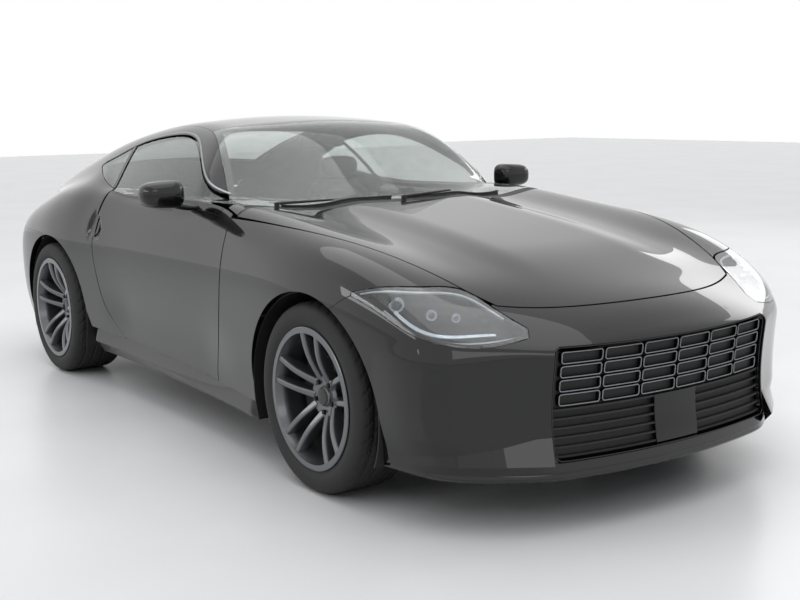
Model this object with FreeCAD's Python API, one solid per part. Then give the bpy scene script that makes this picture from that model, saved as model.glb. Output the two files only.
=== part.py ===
import FreeCAD, Part
import math
import os
from bisect import bisect_right

V = FreeCAD.Vector

# Coupe car, millimetres. X forward from mid-length, Y to the left, Z up from the ground.

# Overall sizes
LENGTH = 4380.0
WIDTH = 1845.0
HEIGHT = 1315.0
WHEELBASE = 2550.0
FRONT_OVERHANG = 920.0

# Axles and wheels
TRACK_FRONT = 1555.0
TRACK_REAR = 1565.0
TYRE_RADIUS_FRONT = 343.3
TYRE_RADIUS_REAR = 337.5
TYRE_WIDTH_FRONT = 255.0
TYRE_WIDTH_REAR = 275.0
RIM_RADIUS = 241.3
DISC_RADIUS = 178.0
DISC_THICKNESS = 30.0
HUB_BORE_RADIUS = 30.3
SPINDLE_RADIUS = 30.0
KINGPIN_INSET = 77.0
ARCH_REACH_FRONT = 425.0
ARCH_RISE_FRONT = 393.0
ARCH_REACH_REAR = 402.0
ARCH_RISE_REAR = 385.0

# Sheet and shell thicknesses, measured inwards from the outer surface
PANEL_DEPTH = 28.0
BUMPER_DEPTH = 26.0
DOOR_DEPTH = 105.0
LID_DEPTH = 34.0
ROOF_DEPTH = 30.0
PILLAR_DEPTH = 44.0
SILL_DEPTH = 120.0
GLASS_DEPTH = 5.0
LAMP_DEPTH = 70.0
COWL_DEPTH = 4.0
GRILLE_FRONT = 18.0
GRILLE_BACK = 36.0
LINER_THICKNESS = 4.0
PLATE = 12.0

# Gaps
SHUT_GAP = 6.0
SEAM_GAP = 0.6
SEAT_GAP = 0.3
GLASS_SEAT = 1.3
STOP_GAP = 0.5

# Cabin
FLOOR_TOP = 215.0
FLOOR_BOTTOM = 190.0
SILL_FACE = 790.0
TUNNEL_HALF_WIDTH = 165.0
TUNNEL_HEIGHT = 215.0
CABIN_FRONT = 790.0
CABIN_REAR = -640.0
SEAT_OFFSET = 394.0
SEAT_WIDTH = 440.0
SEAT_FRONT = 40.0
SEAT_HEIGHT = 430.0
STEERING_WHEEL_RADIUS = 180.0
STEERING_WHEEL_TILT = 22.0

SILL_BOX_WIDTH = 90.0
SILL_BOX_TOP = 315.0
DASH_HALF_WIDTH = 705.0
CONSOLE_HALF_WIDTH = 118.0
STEERING_X = 225.0
STEERING_Z = 770.0
MIRROR = (205.0, 945.0, 1008.0)

# Structure and running gear
BAY_HALF_WIDTH = 420.0
REAR_TUB_HALF_WIDTH = 600.0
LUGGAGE_FLOOR = 600.0
REAR_WALL_TOP = 714.0
LINER_EDGE = 888.0
LINER_FOOT = 185.0
TRAY_HEIGHT = 176.0
ENGINE_BOTTOM = 250.0
SUBFRAME_BOTTOM = 185.0
SHAFT_HEIGHT = 330.0
BALL_DROP = 130.0
BALL_RISE = 150.0
DAMPER_OFFSET = 510.0
RACK_HEIGHT = 214.0
GEARBOX_HEIGHT = 296.0
ARMS_OPENING_FRONT = 535.0
ARMS_OPENING_REAR = 490.0
SILENCER_TOP = 420.0
SILENCER_HALF = 450.0
SILENCER_RADIUS = 95.0
REAR_DAMPER_OFFSET = 520.0
HUB_DEPTH = 60.0
CALIPER_DEPTH = 92.0
DISC_PLANE = -30.0
HUB_FACE = 22.0
STOP_RADIUS = 12.0
BONNET_STOP_OFFSET = 300.0
HATCH_STOP_OFFSET = 450.0
PIPE_OFFSET = 95.0
PIPE_HEIGHT = 195.0
TIP_OFFSET = 480.0
TIP_HEIGHT = 300.0
TIP_RADIUS = 40.0
TIP_DEPTH = 120.0
TIP_CLEARANCE = 6.0

# Stations that the sizes above give
NOSE_X = LENGTH / 2
TAIL_X = -LENGTH / 2
FRONT_AXLE = NOSE_X - FRONT_OVERHANG
REAR_AXLE = FRONT_AXLE - WHEELBASE
REAR_WALL = TAIL_X + 190

# The body's styling lines are drawn once, on a car of these sizes, and stretched to the sizes above
DRAWN_NOSE = 2190.0
DRAWN_FRONT_AXLE = 1270.0
DRAWN_REAR_AXLE = -1280.0
DRAWN_TAIL = -2190.0
DRAWN_WIDTH = 1845.0
DRAWN_HEIGHT = 1315.0

REAL_STATIONS = (TAIL_X, REAR_AXLE, FRONT_AXLE, NOSE_X)
DRAWN_STATIONS = (DRAWN_TAIL, DRAWN_REAR_AXLE, DRAWN_FRONT_AXLE, DRAWN_NOSE)


def stretch(x, from_stations, to_stations):
    i = min(max(bisect_right(from_stations, x) - 1, 0), 2)
    share = (x - from_stations[i]) / (from_stations[i + 1] - from_stations[i])
    return to_stations[i] + share * (to_stations[i + 1] - to_stations[i])


def real_x(x):
    return stretch(x, DRAWN_STATIONS, REAL_STATIONS)


def real_y(y):
    return y * WIDTH / DRAWN_WIDTH


def real_z(z):
    return z * HEIGHT / DRAWN_HEIGHT


class Curve:
    """A natural cubic spline through points, straight beyond its ends."""

    def __init__(self, *points):
        self.x = [float(p[0]) for p in points]
        self.y = [float(p[1]) for p in points]
        n = len(points)
        self.bend = [0.0] * n
        upper = [0.0] * n
        right = [0.0] * n
        for i in range(1, n - 1):
            before = self.x[i] - self.x[i - 1]
            after = self.x[i + 1] - self.x[i]
            slope_change = (self.y[i + 1] - self.y[i]) / after - (self.y[i] - self.y[i - 1]) / before
            pivot = 2 * (before + after) - before * upper[i - 1]
            upper[i] = after / pivot
            right[i] = (6 * slope_change - before * right[i - 1]) / pivot
        for i in range(n - 2, 0, -1):
            self.bend[i] = right[i] - upper[i] * self.bend[i + 1]

    def __call__(self, x):
        last = len(self.x) - 2
        i = min(max(bisect_right(self.x, x) - 1, 0), last)
        h = self.x[i + 1] - self.x[i]
        inside = min(max(x, self.x[0]), self.x[-1])
        a = (self.x[i + 1] - inside) / h
        b = 1 - a
        cubic = ((a ** 3 - a) * self.bend[i] + (b ** 3 - b) * self.bend[i + 1]) * h * h / 6
        value = a * self.y[i] + b * self.y[i + 1] + cubic
        if x == inside:
            return value
        slope = (self.y[i + 1] - self.y[i]) / h
        if x > inside:
            slope += h * (2 * self.bend[i + 1] + self.bend[i]) / 6
        else:
            slope -= h * (2 * self.bend[i] + self.bend[i + 1]) / 6
        return value + slope * (x - inside)


# Styling lines, drawn sizes: widest half-width and how the side tucks in with height
WIDE = Curve((-2250, 735), (-2050, 820), (-1800, 891), (-1500, 922), (-1280, 927), (-1000, 908), (-700, 884),
             (-300, 872), (100, 872), (500, 882), (850, 904), (1150, 923), (1400, 922), (1650, 904),
             (1850, 866), (2000, 812), (2200, 700))
TUCK = Curve((130, 70), (220, 40), (340, 14), (480, 2), (600, 0), (700, 4), (800, 20), (880, 44), (950, 72),
             (1050, 125), (1200, 220))
# Height of the deck at its centre line and at the crests over the wheels
CENTRE = Curve((-2250, 800), (-2100, 838), (-1900, 872), (-1700, 900), (-1400, 928), (-1000, 950),
               (-500, 972),
               (0, 978), (300, 974), (600, 958), (900, 926), (1270, 880), (1500, 846), (1750, 800),
               (1950, 748), (2050, 713), (2120, 676), (2200, 612))
CREST = Curve((-2250, 690), (-2100, 735), (-1900, 800), (-1700, 868), (-1400, 940), (-1200, 965),
              (-900, 978),
              (-500, 982), (0, 984), (300, 984), (600, 976), (900, 950), (1150, 922), (1400, 886),
              (1600, 838), (1780, 762), (1930, 660), (2050, 560), (2200, 430))
# Radius between side and deck
SHOULDER = Curve((-2250, 160), (-1900, 220), (-1500, 260), (-900, 120), (-500, 60), (400, 60), (700, 150),
                 (1000, 220), (1500, 230), (1800, 180), (2000, 60), (2200, 30))
# Roof line and half-width of the glasshouse at the belt
ARCH = Curve((-2190, 915), (-2080, 950), (-1950, 984), (-1700, 1058), (-1400, 1144), (-1100, 1222),
             (-850, 1270), (-600, 1302), (-330, 1315), (-100, 1303), (80, 1274), (300, 1150), (580, 965),
             (700, 885), (900, 750))
CABIN = Curve((-2250, 520), (-2000, 600), (-1700, 668), (-1400, 720), (-1100, 765), (-800, 794), (-400, 814),
              (0, 818), (300, 808), (500, 783), (700, 705))
# Profiles of the nose and tail at the centre line
FACE = Curve((100, -30), (180, -8), (245, -3), (330, -14), (430, -18), (520, -12), (620, -2), (700, -2))
TAIL = Curve((100, -2060), (250, -2120), (420, -2178), (560, -2186), (680, -2165), (780, -2128),
             (860, -2134), (930, -2150), (980, -2150))
# Below this height the skin is open, and flat trays close the car
UNDERSIDE = 110


def soft_max(a, b, width):
    h = max(width - abs(a - b), 0.0) / width
    return max(a, b) + h ** 3 * width / 6


def soft_min(a, b, width):
    return -soft_max(-a, -b, width)


def ease(t):
    t = min(max(t, 0.0), 1.0)
    return t * t * t * (10 - 15 * t + 6 * t * t)


def deck_height(x, y):
    t = min(y / 760.0, 1.6)
    bonnet = ease((x - 350) / 300) * (1 - ease((x - 1500) / 450))
    bulge = 15 * (1 - ease((y - 230) / 210)) - 12 * math.exp(-((y - 520) / 130) ** 2)
    return CENTRE(x) + (CREST(x) - CENTRE(x)) * t * t + bonnet * bulge


def half_width(x, z):
    door = ease((x + 800) / 450) * (1 - ease((x - 300) / 450))
    return WIDE(x) - TUCK(z) - door * 14 * math.exp(-((z - 400) / 110) ** 2)


def nose_reach(y, z):
    plan = DRAWN_NOSE - y * y * 0.00023
    corner = 2133 - (y - 500) * 0.62
    return soft_min(plan, corner, 30) + FACE(z)


def tail_reach(y, z):
    return TAIL(z) + y * y * 0.00022 + max(y - 450, 0) ** 2 * 0.0005


def cabin_half_width(x, z):
    rise = max(z - 930, 0)
    return CABIN(x) - rise * 0.62 - rise * rise * 0.00055


def roof_height(x, y):
    crown = 55 + ease((x + 100) / 500) * 90
    return ARCH(x) - crown * 0.9 * (y / 620) ** 2


def body(x, y, z):
    """Below zero inside the closed body, above zero outside, near the distance in millimetres."""
    x = stretch(x, REAL_STATIONS, DRAWN_STATIONS)
    y = abs(y) * DRAWN_WIDTH / WIDTH
    z = z * DRAWN_HEIGHT / HEIGHT
    tail = tail_reach(y, z) - x
    lower = soft_max(y - half_width(x, z), x - nose_reach(y, z), 150)
    lower = soft_max(lower, tail, 180)
    lower = soft_max(lower, z - deck_height(x, y), max(SHOULDER(x), 25))
    lower = soft_max(lower, UNDERSIDE - z, 24)
    upper = soft_max(z - roof_height(x, y), y - cabin_half_width(x, z), 110)
    upper = soft_max(soft_max(upper, tail + 110 * (1 - ease((z - 700) / 170)), 60), 650 - z, 60)
    return soft_min(lower, upper, 12 + 190 * ease((-x - 650) / 500))


def outward(p):
    """The unit normal of the body near a point."""
    e = 0.5
    n = V(body(p.x + e, p.y, p.z) - body(p.x - e, p.y, p.z),
          body(p.x, p.y + e, p.z) - body(p.x, p.y - e, p.z),
          body(p.x, p.y, p.z + e) - body(p.x, p.y, p.z - e))
    return n.normalize()


def skin_point(start, direction, reach, step=60.0):
    """The outermost point of the body on a ray from a point inside it."""
    def at(t):
        return body(start.x + direction.x * t, start.y + direction.y * t, start.z + direction.z * t)

    outer = reach
    while outer > step and at(outer - step) > 0:
        outer -= step
    inner = outer - step
    f_in = at(inner)
    f_out = at(outer)
    for _ in range(40):
        t = inner - f_in * (outer - inner) / (f_out - f_in)
        t = min(max(t, inner + 0.05 * (outer - inner)), outer - 0.05 * (outer - inner))
        f = at(t)
        if abs(f) < 1e-4 or outer - inner < 1e-4:
            break
        if f < 0:
            inner, f_in = t, f
        else:
            outer, f_out = t, f
    return V(start.x + direction.x * t, start.y + direction.y * t, start.z + direction.z * t)


# Ways to lay a drawing on the body. Each takes two drawn numbers and gives the point on the skin.
GIRTH_HEIGHT = 450.0
GIRTH_FAN = -1650.0
FAN_RADIUS = 820.0
NOSE_AXIS = 1200.0
TAIL_AXIS = -1250.0
HATCH_AXIS = (-1250.0, 600.0)

# How far the search for the skin starts outside the body
CLEAR_OF_BODY = 280.0
SIDE_REACH = WIDTH / 2 + CLEAR_OF_BODY
TOP_REACH = HEIGHT - real_z(500) + CLEAR_OF_BODY
NOSE_REACH = NOSE_X - real_x(NOSE_AXIS) + CLEAR_OF_BODY
TAIL_REACH = real_x(TAIL_AXIS) - TAIL_X + CLEAR_OF_BODY
GIRTH_REACH = max(SIDE_REACH, TOP_REACH)


def from_side(x, z):
    """Seen from the left: drawn x and z."""
    return skin_point(V(real_x(x), 0, real_z(z)), V(0, 1, 0), SIDE_REACH)


def from_above(x, y):
    """Seen from above: drawn x and y."""
    return skin_point(V(real_x(x), real_y(y), real_z(500)), V(0, 0, 1), TOP_REACH)


def round_girth(x, angle):
    """Around the car at drawn x: degrees up from level, seen from a line along the middle.
    Behind the fan station the rays lean back, to meet the tail's corners squarely."""
    a = math.radians(angle)
    lean = math.atan(max(GIRTH_FAN - x, 0) / FAN_RADIUS)
    direction = V(-math.sin(lean), math.cos(lean) * math.cos(a), math.cos(lean) * math.sin(a))
    return skin_point(V(real_x(max(x, GIRTH_FAN)), 0, real_z(GIRTH_HEIGHT)), direction, GIRTH_REACH)


def round_nose(angle, z):
    """Around an upright line in the nose: degrees to the left of straight ahead, and drawn z."""
    a = math.radians(angle)
    return skin_point(V(real_x(NOSE_AXIS), 0, real_z(z)), V(math.cos(a), math.sin(a), 0), NOSE_REACH)


def round_tail(angle, z):
    """Around an upright line in the tail: degrees to the left of straight back, and drawn z."""
    a = math.radians(angle)
    return skin_point(V(real_x(TAIL_AXIS), 0, real_z(z)), V(-math.cos(a), math.sin(a), 0), TAIL_REACH)


def round_back(angle, y):
    """Over the tail: degrees back from upright, seen from a line across the car, and drawn y."""
    a = math.radians(angle)
    return skin_point(V(real_x(HATCH_AXIS[0]), real_y(y), real_z(HATCH_AXIS[1])),
                      V(-math.sin(a), 0, math.cos(a)), TAIL_REACH)


def girth_angle(x, z):
    """The girth angle of the point at drawn x and z on the side."""
    p = from_side(x, z)
    return math.degrees(math.atan2(p.z - real_z(GIRTH_HEIGHT), p.y))


def girth_angle_above(x, y):
    """The girth angle of the point at drawn x and y on top."""
    p = from_above(x, y)
    return math.degrees(math.atan2(p.z - real_z(GIRTH_HEIGHT), p.y))


def patch(first, second, low, high, start=None):
    """Fills four edges. first and second give a for each b; low and high give b for each a.
    Returns a function of u and v, 0 to 1, that gives a and b."""
    def at(u, v):
        b = start if start is not None else 0.5 * (low(first(0)) + high(first(0)))
        a = 0.0
        for _ in range(8):
            a = first(b) + (second(b) - first(b)) * u
            b = low(a) + (high(a) - low(a)) * v
        return a, b

    return at


def steps(count):
    return [i / count for i in range(count + 1)]


def spline(points):
    """A cubic spline through points, evenly paced."""
    curve = Part.BSplineCurve()
    curve.interpolate(Points=list(points), Parameters=[float(i) for i in range(len(points))])
    return curve


def surface(points):
    """A smooth surface through a grid of points: a spline along each row, then one through each line
    of the rows' poles."""
    rows = [spline(row) for row in points]
    lines = [spline(line) for line in zip(*[row.getPoles() for row in rows])]
    made = Part.BSplineSurface()
    made.buildFromPolesMultsKnots(list(zip(*[line.getPoles() for line in lines])),
                                  lines[0].getMultiplicities(), rows[0].getMultiplicities(),
                                  lines[0].getKnots(), rows[0].getKnots(), False, False,
                                  lines[0].Degree, rows[0].Degree)
    return made


def closed_solid(faces):
    shell = Part.makeShell(faces)
    shell.sewShape()
    solid = Part.makeSolid(shell)
    if solid.Volume < 0:
        solid.reverse()
    return solid


def between(outer, inner):
    """A solid between two grids of points, its sides ruled from edge to edge."""
    a = surface(outer)
    b = surface(inner)
    faces = [a.toShape(), b.toShape()]
    u0, u1, v0, v1 = a.bounds()
    p0, p1, q0, q1 = b.bounds()
    for edge_a, edge_b in ((a.uIso(u0), b.uIso(p0)), (a.uIso(u1), b.uIso(p1)),
                           (a.vIso(v0), b.vIso(q0)), (a.vIso(v1), b.vIso(q1))):
        faces.append(Part.makeRuledSurface(edge_a.toShape(), edge_b.toShape()))
    return closed_solid(faces)


def sideways(a, b):
    return V(0, 1, 0)


def tail_ray(angle, z):
    a = math.radians(angle)
    return V(-math.cos(a), math.sin(a), 0)


def nose_ray(angle, z):
    a = math.radians(angle)
    return V(math.cos(a), math.sin(a), 0)


def slab(lay, outline, count, deep, proud=0.0, inset=(0.0, 0.0, 0.0, 0.0), aim=None):
    """A panel of the skin. lay puts the drawing on the body, outline gives it from u and v, deep is
    how far it reaches in, proud how far out, inset how much each edge of the inner face is drawn in
    as a share of the panel. Its sides stand square to the skin, or along aim."""
    def layer(distance, edges):
        grid = []
        for u in steps(count[0]):
            row = []
            for v in steps(count[1]):
                a, b = outline(edges[0] + u * (1 - edges[0] - edges[1]),
                               edges[2] + v * (1 - edges[2] - edges[3]))
                p = lay(a, b)
                row.append(p + (aim(a, b) if aim else outward(p)) * distance)
            grid.append(row)
        return grid

    return between(layer(proud, (0.0, 0.0, 0.0, 0.0)), layer(-deep, inset))


def prism_through(outline, y_from, y_to):
    """A four-sided drawing of x and z as a solid along Y, its sides smooth."""
    count = 10
    sides = [[(i / count, 0) for i in range(count + 1)], [(1, i / count) for i in range(count + 1)],
             [(1 - i / count, 1) for i in range(count + 1)], [(0, 1 - i / count) for i in range(count + 1)]]
    edges = []
    for side in sides:
        points = [V(real_x(outline(u, v)[0]), y_from, real_z(outline(u, v)[1])) for u, v in side]
        edges.append(spline(points).toShape())
    return Part.Face(Part.Wire(edges)).extrude(V(0, y_to - y_from, 0))


def mirrored(shape):
    return shape.mirror(V(0, 0, 0), V(0, 1, 0))


def both_sides(shape):
    return Part.makeCompound([shape, mirrored(shape)])


def box(x, y, z):
    """A box from three pairs of limits."""
    return Part.makeBox(x[1] - x[0], y[1] - y[0], z[1] - z[0], V(x[0], y[0], z[0]))


def rod(start, end, radius):
    return Part.makeCylinder(radius, (end - start).Length, start, end - start)


def prism(points, direction):
    return Part.Face(Part.makePolygon([*points, points[0]])).extrude(direction)


def fused(first, *others):
    return first.fuse(list(others)).removeSplitter()


def arch_hole(axle, reach, rise, centre_z, y_in, y_out, shrink=0.0):
    """The wheel arch's oval through the skin, as a solid along Y."""
    oval = Part.Ellipse(V(0, 0, 0), reach - shrink, rise - shrink)
    face = Part.Face(Part.Wire([oval.toShape()]))
    face.rotate(V(0, 0, 0), V(1, 0, 0), 90)
    face.translate(V(axle, y_in, centre_z))
    return face.extrude(V(0, y_out - y_in, 0))


PARTS = {}


def keep(name, shape):
    PARTS[name] = shape


# Outlines on the skin, drawn sizes
DOOR_FRONT = Curve((160, 462), (250, 471), (482, 548), (648, 577), (806, 578), (929, 575), (1000, 574))
DOOR_REAR = Curve((160, -500), (290, -500), (310, -530), (417, -656), (536, -716), (704, -768), (902, -735),
                  (963, -721), (1080, -760), (1180, -815), (1230, -850), (1320, -880))
DOOR_BOTTOM = Curve((-860, 296), (-460, 286), (495, 255), (789, 244))
BELT = Curve((-800, 974), (-715, 972), (-510, 962), (-379, 962), (0, 972), (363, 972), (480, 962),
             (600, 940))
GLASS_TOP = Curve((-1200, 1050), (-1128, 1077), (-964, 1128), (-800, 1180), (-602, 1217), (-417, 1234),
                  (-257, 1231), (-131, 1203), (60, 1112), (245, 1018), (345, 976), (420, 950))
QUARTER_GLASS_LOW = Curve((-1200, 1085), (-1128, 1068), (-983, 1028), (-850, 997), (-715, 977), (-600, 970))
GUTTER = Curve((-1100, 484), (-850, 490), (-600, 497), (-300, 510), (-112, 541), (60, 602), (200, 652),
               (350, 702), (518, 748), (600, 770))
BONNET_SIDE = Curve((540, 816), (646, 816), (769, 812), (1000, 795), (1180, 772), (1428, 722), (1600, 672),
                    (1720, 634), (1811, 602), (1884, 565), (2000, 500))
LAMP_TOP = Curve((32.5, 656), (38.3, 707), (45.1, 761), (54.5, 784), (61.9, 783), (66.9, 766), (69, 758))
LAMP_LOW = Curve((32.5, 641), (35.9, 630), (41.9, 618), (48.4, 629), (54.8, 664), (61.7, 715), (69, 749))
BUMPER_TOP = Curve((0, 736), (20, 737), (30, 737), (36, 734), (39.5, 727), (43, 712), (48, 704), (54.8, 720),
                   (61.7, 748), (67, 755), (73.1, 708), (76.4, 680), (80, 656))
FENDER_LOW = Curve((540, -15), (700, -15), (850, -14.6), (1000, -8), (1200, 6), (1350, 13.4), (1450, 16),
                   (1556, 18), (1653, 20.2), (1735, 22.6), (1790, 24.2))
FENDER_TIP = 1790.0
QUARTER_LOW = Curve((-2150, 14), (-1900, 12), (-1600, 9), (-1280, 6), (-1000, -6), (-850, -12.8),
                    (-700, -13), (-480, -13))
QUARTER_REAR = -2105.0
HATCH_SIDE_AT = Curve((-2150, 598), (-1900, 582), (-1600, 548), (-1300, 515), (-1000, 492), (-800, 480),
                      (-500, 482))
BUMPER_REAR_TOP = 722.0
BUMPER_REAR_LOW = 238.0
DIFFUSER_TOP = 392.0
DIFFUSER_LOW = 255.0
DIFFUSER_TOP_ANGLE = 27.0
DIFFUSER_SPREAD = 0.086
LAMP_BAND_TOP = 858.0
LAMP_BAND_END = 50.0
BUMPER_BOTTOM = 205.0
MOUTH_HALF_WIDTH = 511.0
MOUTH_LOW = 243.0
MOUTH_HIGH = 612.0
MOUTH_CORNER = 30.0
ROOF_REAR = -800.0
HATCH_GAP = 7.5
CANTRAIL_REAR = -850.0
WHEEL_CENTRE = TYRE_RADIUS_FRONT
WHEEL_CENTRE_REAR = TYRE_RADIUS_REAR
ARCH_CENTRE = 333.0


def header(y):
    """Front edge of the roof."""
    return 12 - 126 * (y / 541) ** 4


def cowl(y):
    """Rear edge of the bonnet."""
    return 708 - 0.000145 * y * y


def bonnet_nose(y):
    """Front edge of the bonnet."""
    return 2050 - 0.0005 * y * y


def constant(value):
    return lambda _: value


HATCH_STATION = Curve(*[(a, stretch(round_back(a, 480).x, REAL_STATIONS, DRAWN_STATIONS))
                        for a in range(-42, 85, 7)])


def hatch_side(angle):
    return HATCH_SIDE_AT(HATCH_STATION(angle))


def back_angle(p):
    """Degrees back from upright of a point, seen from the tailgate's drawing line."""
    return -math.degrees(math.atan2(p.x - real_x(HATCH_AXIS[0]), p.z - real_z(HATCH_AXIS[1])))


def hatch_front(y):
    return back_angle(from_above(ROOF_REAR - HATCH_GAP, y))


def hatch_rear(y):
    start = V(real_x(HATCH_AXIS[0]), real_y(y), real_z(LAMP_BAND_TOP + SHUT_GAP + 1))
    return back_angle(skin_point(start, V(-1, 0, 0), TAIL_REACH))


FRONT_ARCH = arch_hole(FRONT_AXLE, ARCH_REACH_FRONT, ARCH_RISE_FRONT, ARCH_CENTRE, 300, 1100)
REAR_ARCH = arch_hole(REAR_AXLE, ARCH_REACH_REAR, ARCH_RISE_REAR, ARCH_CENTRE, 300, 1100)


def lamp_outline(margin):
    return patch(constant(33.2 - margin * 0.1), constant(68.6 + margin * 0.1),
                 lambda a: LAMP_LOW(a) - margin, lambda a: LAMP_TOP(a) + margin, 700)


def headlamp_hole():
    return slab(round_nose, lamp_outline(SEAM_GAP), (14, 4), 150, 30, aim=nose_ray)


def door_outline(margin):
    return patch(lambda z: DOOR_REAR(z) - margin, lambda z: DOOR_FRONT(z) + margin,
                 lambda x: DOOR_BOTTOM(x) - margin, lambda x: BELT(x) - 2 + (10 if margin > 0 else 0), 600)


def door_hole():
    """The door with its shut gap all round, to cut from the panels beside it."""
    return slab(from_side, door_outline(SHUT_GAP / 2), (9, 14), DOOR_DEPTH + SHUT_GAP, 25, aim=sideways)


def doors():
    door = slab(from_side, door_outline(-SHUT_GAP / 2), (9, 14), DOOR_DEPTH, inset=(0.03, 0.035, 0.03, 0.0))
    inner_sill = box((CABIN_REAR - 300, CABIN_FRONT), (0, SILL_FACE + SHUT_GAP),
                     (0, SILL_BOX_TOP + SHUT_GAP))
    door = door.cut(inner_sill)
    keep("door_left", door)
    keep("door_right", mirrored(door))


def door_glass():
    outline = patch(lambda z: DOOR_REAR(z) + 8 + (z - 960) * 0.02, constant(345),
                    lambda x: BELT(x) - 2 + GLASS_SEAT, lambda x: GLASS_TOP(x) - 7, 1050)

    def corner(u, v):
        a, b = outline(u, v)
        return a, max(b, BELT(a) - 2 + GLASS_SEAT + 2.5 * v)

    glass = slab(from_side, corner, (14, 5), GLASS_DEPTH + 3, -3)
    keep("door_glass_left", glass)
    keep("door_glass_right", mirrored(glass))


def quarter_glass():
    outline = patch(constant(-1125), lambda z: DOOR_REAR(z) - 8, lambda x: QUARTER_GLASS_LOW(x) + SEAM_GAP,
                    lambda x: GLASS_TOP(x) - SEAM_GAP, 1080)
    glass = slab(from_side, outline, (8, 4), GLASS_DEPTH + 4, -3, aim=sideways)
    keep("quarter_windows", both_sides(glass))


def cantrails():
    front = 505.0
    rear = CANTRAIL_REAR
    gap = SEAM_GAP / 2

    def limits(x):
        return girth_angle(x, max(GLASS_TOP(x) + 0.5, 976.5)), girth_angle_above(x, GUTTER(x) + gap)

    def strip(u, v):
        x = rear + (front - rear) * u
        low, high = limits(x)
        return x, low + (high - low) * v

    below_rail = patch(constant(rear - 20), constant(352), constant(700), lambda x: GLASS_TOP(x) - 0.2, 900)
    rail = slab(round_girth, strip, (18, 3), PILLAR_DEPTH)
    rail = rail.cut(prism_through(below_rail, 300, 1000))
    rail = rail.cut(box((real_x(340), real_x(front) + 5), (0, WIDTH), (0, real_z(975.5))))
    rail = max(rail.Solids, key=lambda piece: piece.Volume)
    keep("cantrails", both_sides(rail))


def roof_panel():
    outline = patch(lambda y: ROOF_REAR, lambda y: header(y), lambda x: -GUTTER(x) + SEAM_GAP / 2,
                    lambda x: GUTTER(x) - SEAM_GAP / 2, 0)
    keep("roof", slab(from_above, outline, (8, 10), ROOF_DEPTH))


def windscreen():
    outline = patch(lambda y: header(y) + SEAM_GAP, lambda y: cowl(y) - 52,
                    lambda x: -GUTTER(x) + SEAM_GAP, lambda x: GUTTER(x) - SEAM_GAP, 0)
    keep("windscreen", slab(from_above, outline, (8, 10), GLASS_DEPTH))


def cowl_panel():
    """Plastic cover between the windscreen and the bonnet."""
    outline = patch(lambda y: cowl(y) - 52 + SEAM_GAP, lambda y: cowl(y) - SHUT_GAP / 2,
                    constant(-775), constant(775), 0)
    keep("cowl_panel", slab(from_above, outline, (4, 16), COWL_DEPTH, -1))


def bonnet():
    half = SHUT_GAP / 2
    outline = patch(lambda y: cowl(y) + half, lambda y: bonnet_nose(y) - half,
                    lambda x: -BONNET_SIDE(x) + half, lambda x: BONNET_SIDE(x) - half, 0)
    keep("bonnet", slab(from_above, outline, (14, 16), LID_DEPTH, inset=(0.012, 0.012, 0.012, 0.012)))


def bonnet_hole():
    """The bonnet with its shut gap all round, to cut from what lies beside it."""
    half = SHUT_GAP / 2
    outline = patch(lambda y: cowl(y) - half, lambda y: bonnet_nose(y) + half,
                    lambda x: -BONNET_SIDE(x) - half, lambda x: BONNET_SIDE(x) + half, 0)
    return slab(from_above, outline, (14, 16), LID_DEPTH + SHUT_GAP, 20)


def bumper_space():
    """The corner of the front bumper with its seam, to cut from the fender."""
    outline = patch(constant(20), constant(84), constant(BUMPER_BOTTOM),
                    lambda a: BUMPER_TOP(a) + 2 * SEAM_GAP, 500)
    return slab(round_nose, outline, (16, 10), BUMPER_DEPTH + 40, 25, aim=nose_ray)


def fenders(lamp_hole, opening):
    def outline(u, v):
        b = 0.0
        x = 0.0
        for _ in range(6):
            z = GIRTH_HEIGHT + 900 * math.sin(math.radians(b))
            first = DOOR_FRONT(z) + SHUT_GAP / 2 - (SHUT_GAP if z < BELT(500) else 0)
            x = first + (FENDER_TIP - first) * u
            low = FENDER_LOW(x) - (1.2 if x > FRONT_AXLE else 0)
            high = girth_angle_above(x, BONNET_SIDE(x) + SHUT_GAP / 2)
            b = low + (high - low) * v
        return x, b

    fender = slab(round_girth, outline, (18, 9), PANEL_DEPTH)
    for cut in (FRONT_ARCH, lamp_hole, below_sill_line(), opening, bumper_space()):
        fender = fender.cut(cut)
    fender = max(fender.Solids, key=lambda s: s.Volume)
    keep("fender_left", fender)
    keep("fender_right", mirrored(fender))


def quarters(glass_hole, opening):
    def outline(u, v):
        b = 20.0
        x = 0.0
        for _ in range(8):
            z = GIRTH_HEIGHT + 880 * math.sin(math.radians(b))
            second = DOOR_REAR(z) + SHUT_GAP / 2
            x = QUARTER_REAR + (second - QUARTER_REAR) * u
            low = QUARTER_LOW(x)
            high = quarter_top(x)
            b = low + (high - low) * v
        return x, b

    quarter = slab(round_girth, outline, (20, 10), PANEL_DEPTH)
    for cut in (REAR_ARCH, glass_hole, above_side_glass(), below_sill_line(), behind_quarter(),
                lamp_band(True),
                opening, hatch_hole()):
        quarter = quarter.cut(cut)
    quarter = max(quarter.Solids, key=lambda s: s.Volume)
    keep("quarter_panel_left", quarter)
    keep("quarter_panel_right", mirrored(quarter))


def quarter_top(x):
    """Girth angle of the quarter panel's upper edge, beside the tailgate."""
    at = x
    angle = 0.0
    for _ in range(4):
        angle = girth_angle_above(at, HATCH_SIDE_AT(at) + (SHUT_GAP / 2 if x < ROOF_REAR else SHUT_GAP))
        at = stretch(round_girth(x, angle).x, REAL_STATIONS, DRAWN_STATIONS)
    return angle


def above_side_glass():
    """What the cantrail takes out of the quarter panel's corner, as a solid along Y."""
    outline = patch(constant(CANTRAIL_REAR - SEAM_GAP), constant(-400), lambda x: GLASS_TOP(x) - 0.5,
                    constant(1450), 1250)
    return prism_through(outline, 300, 1000)


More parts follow.
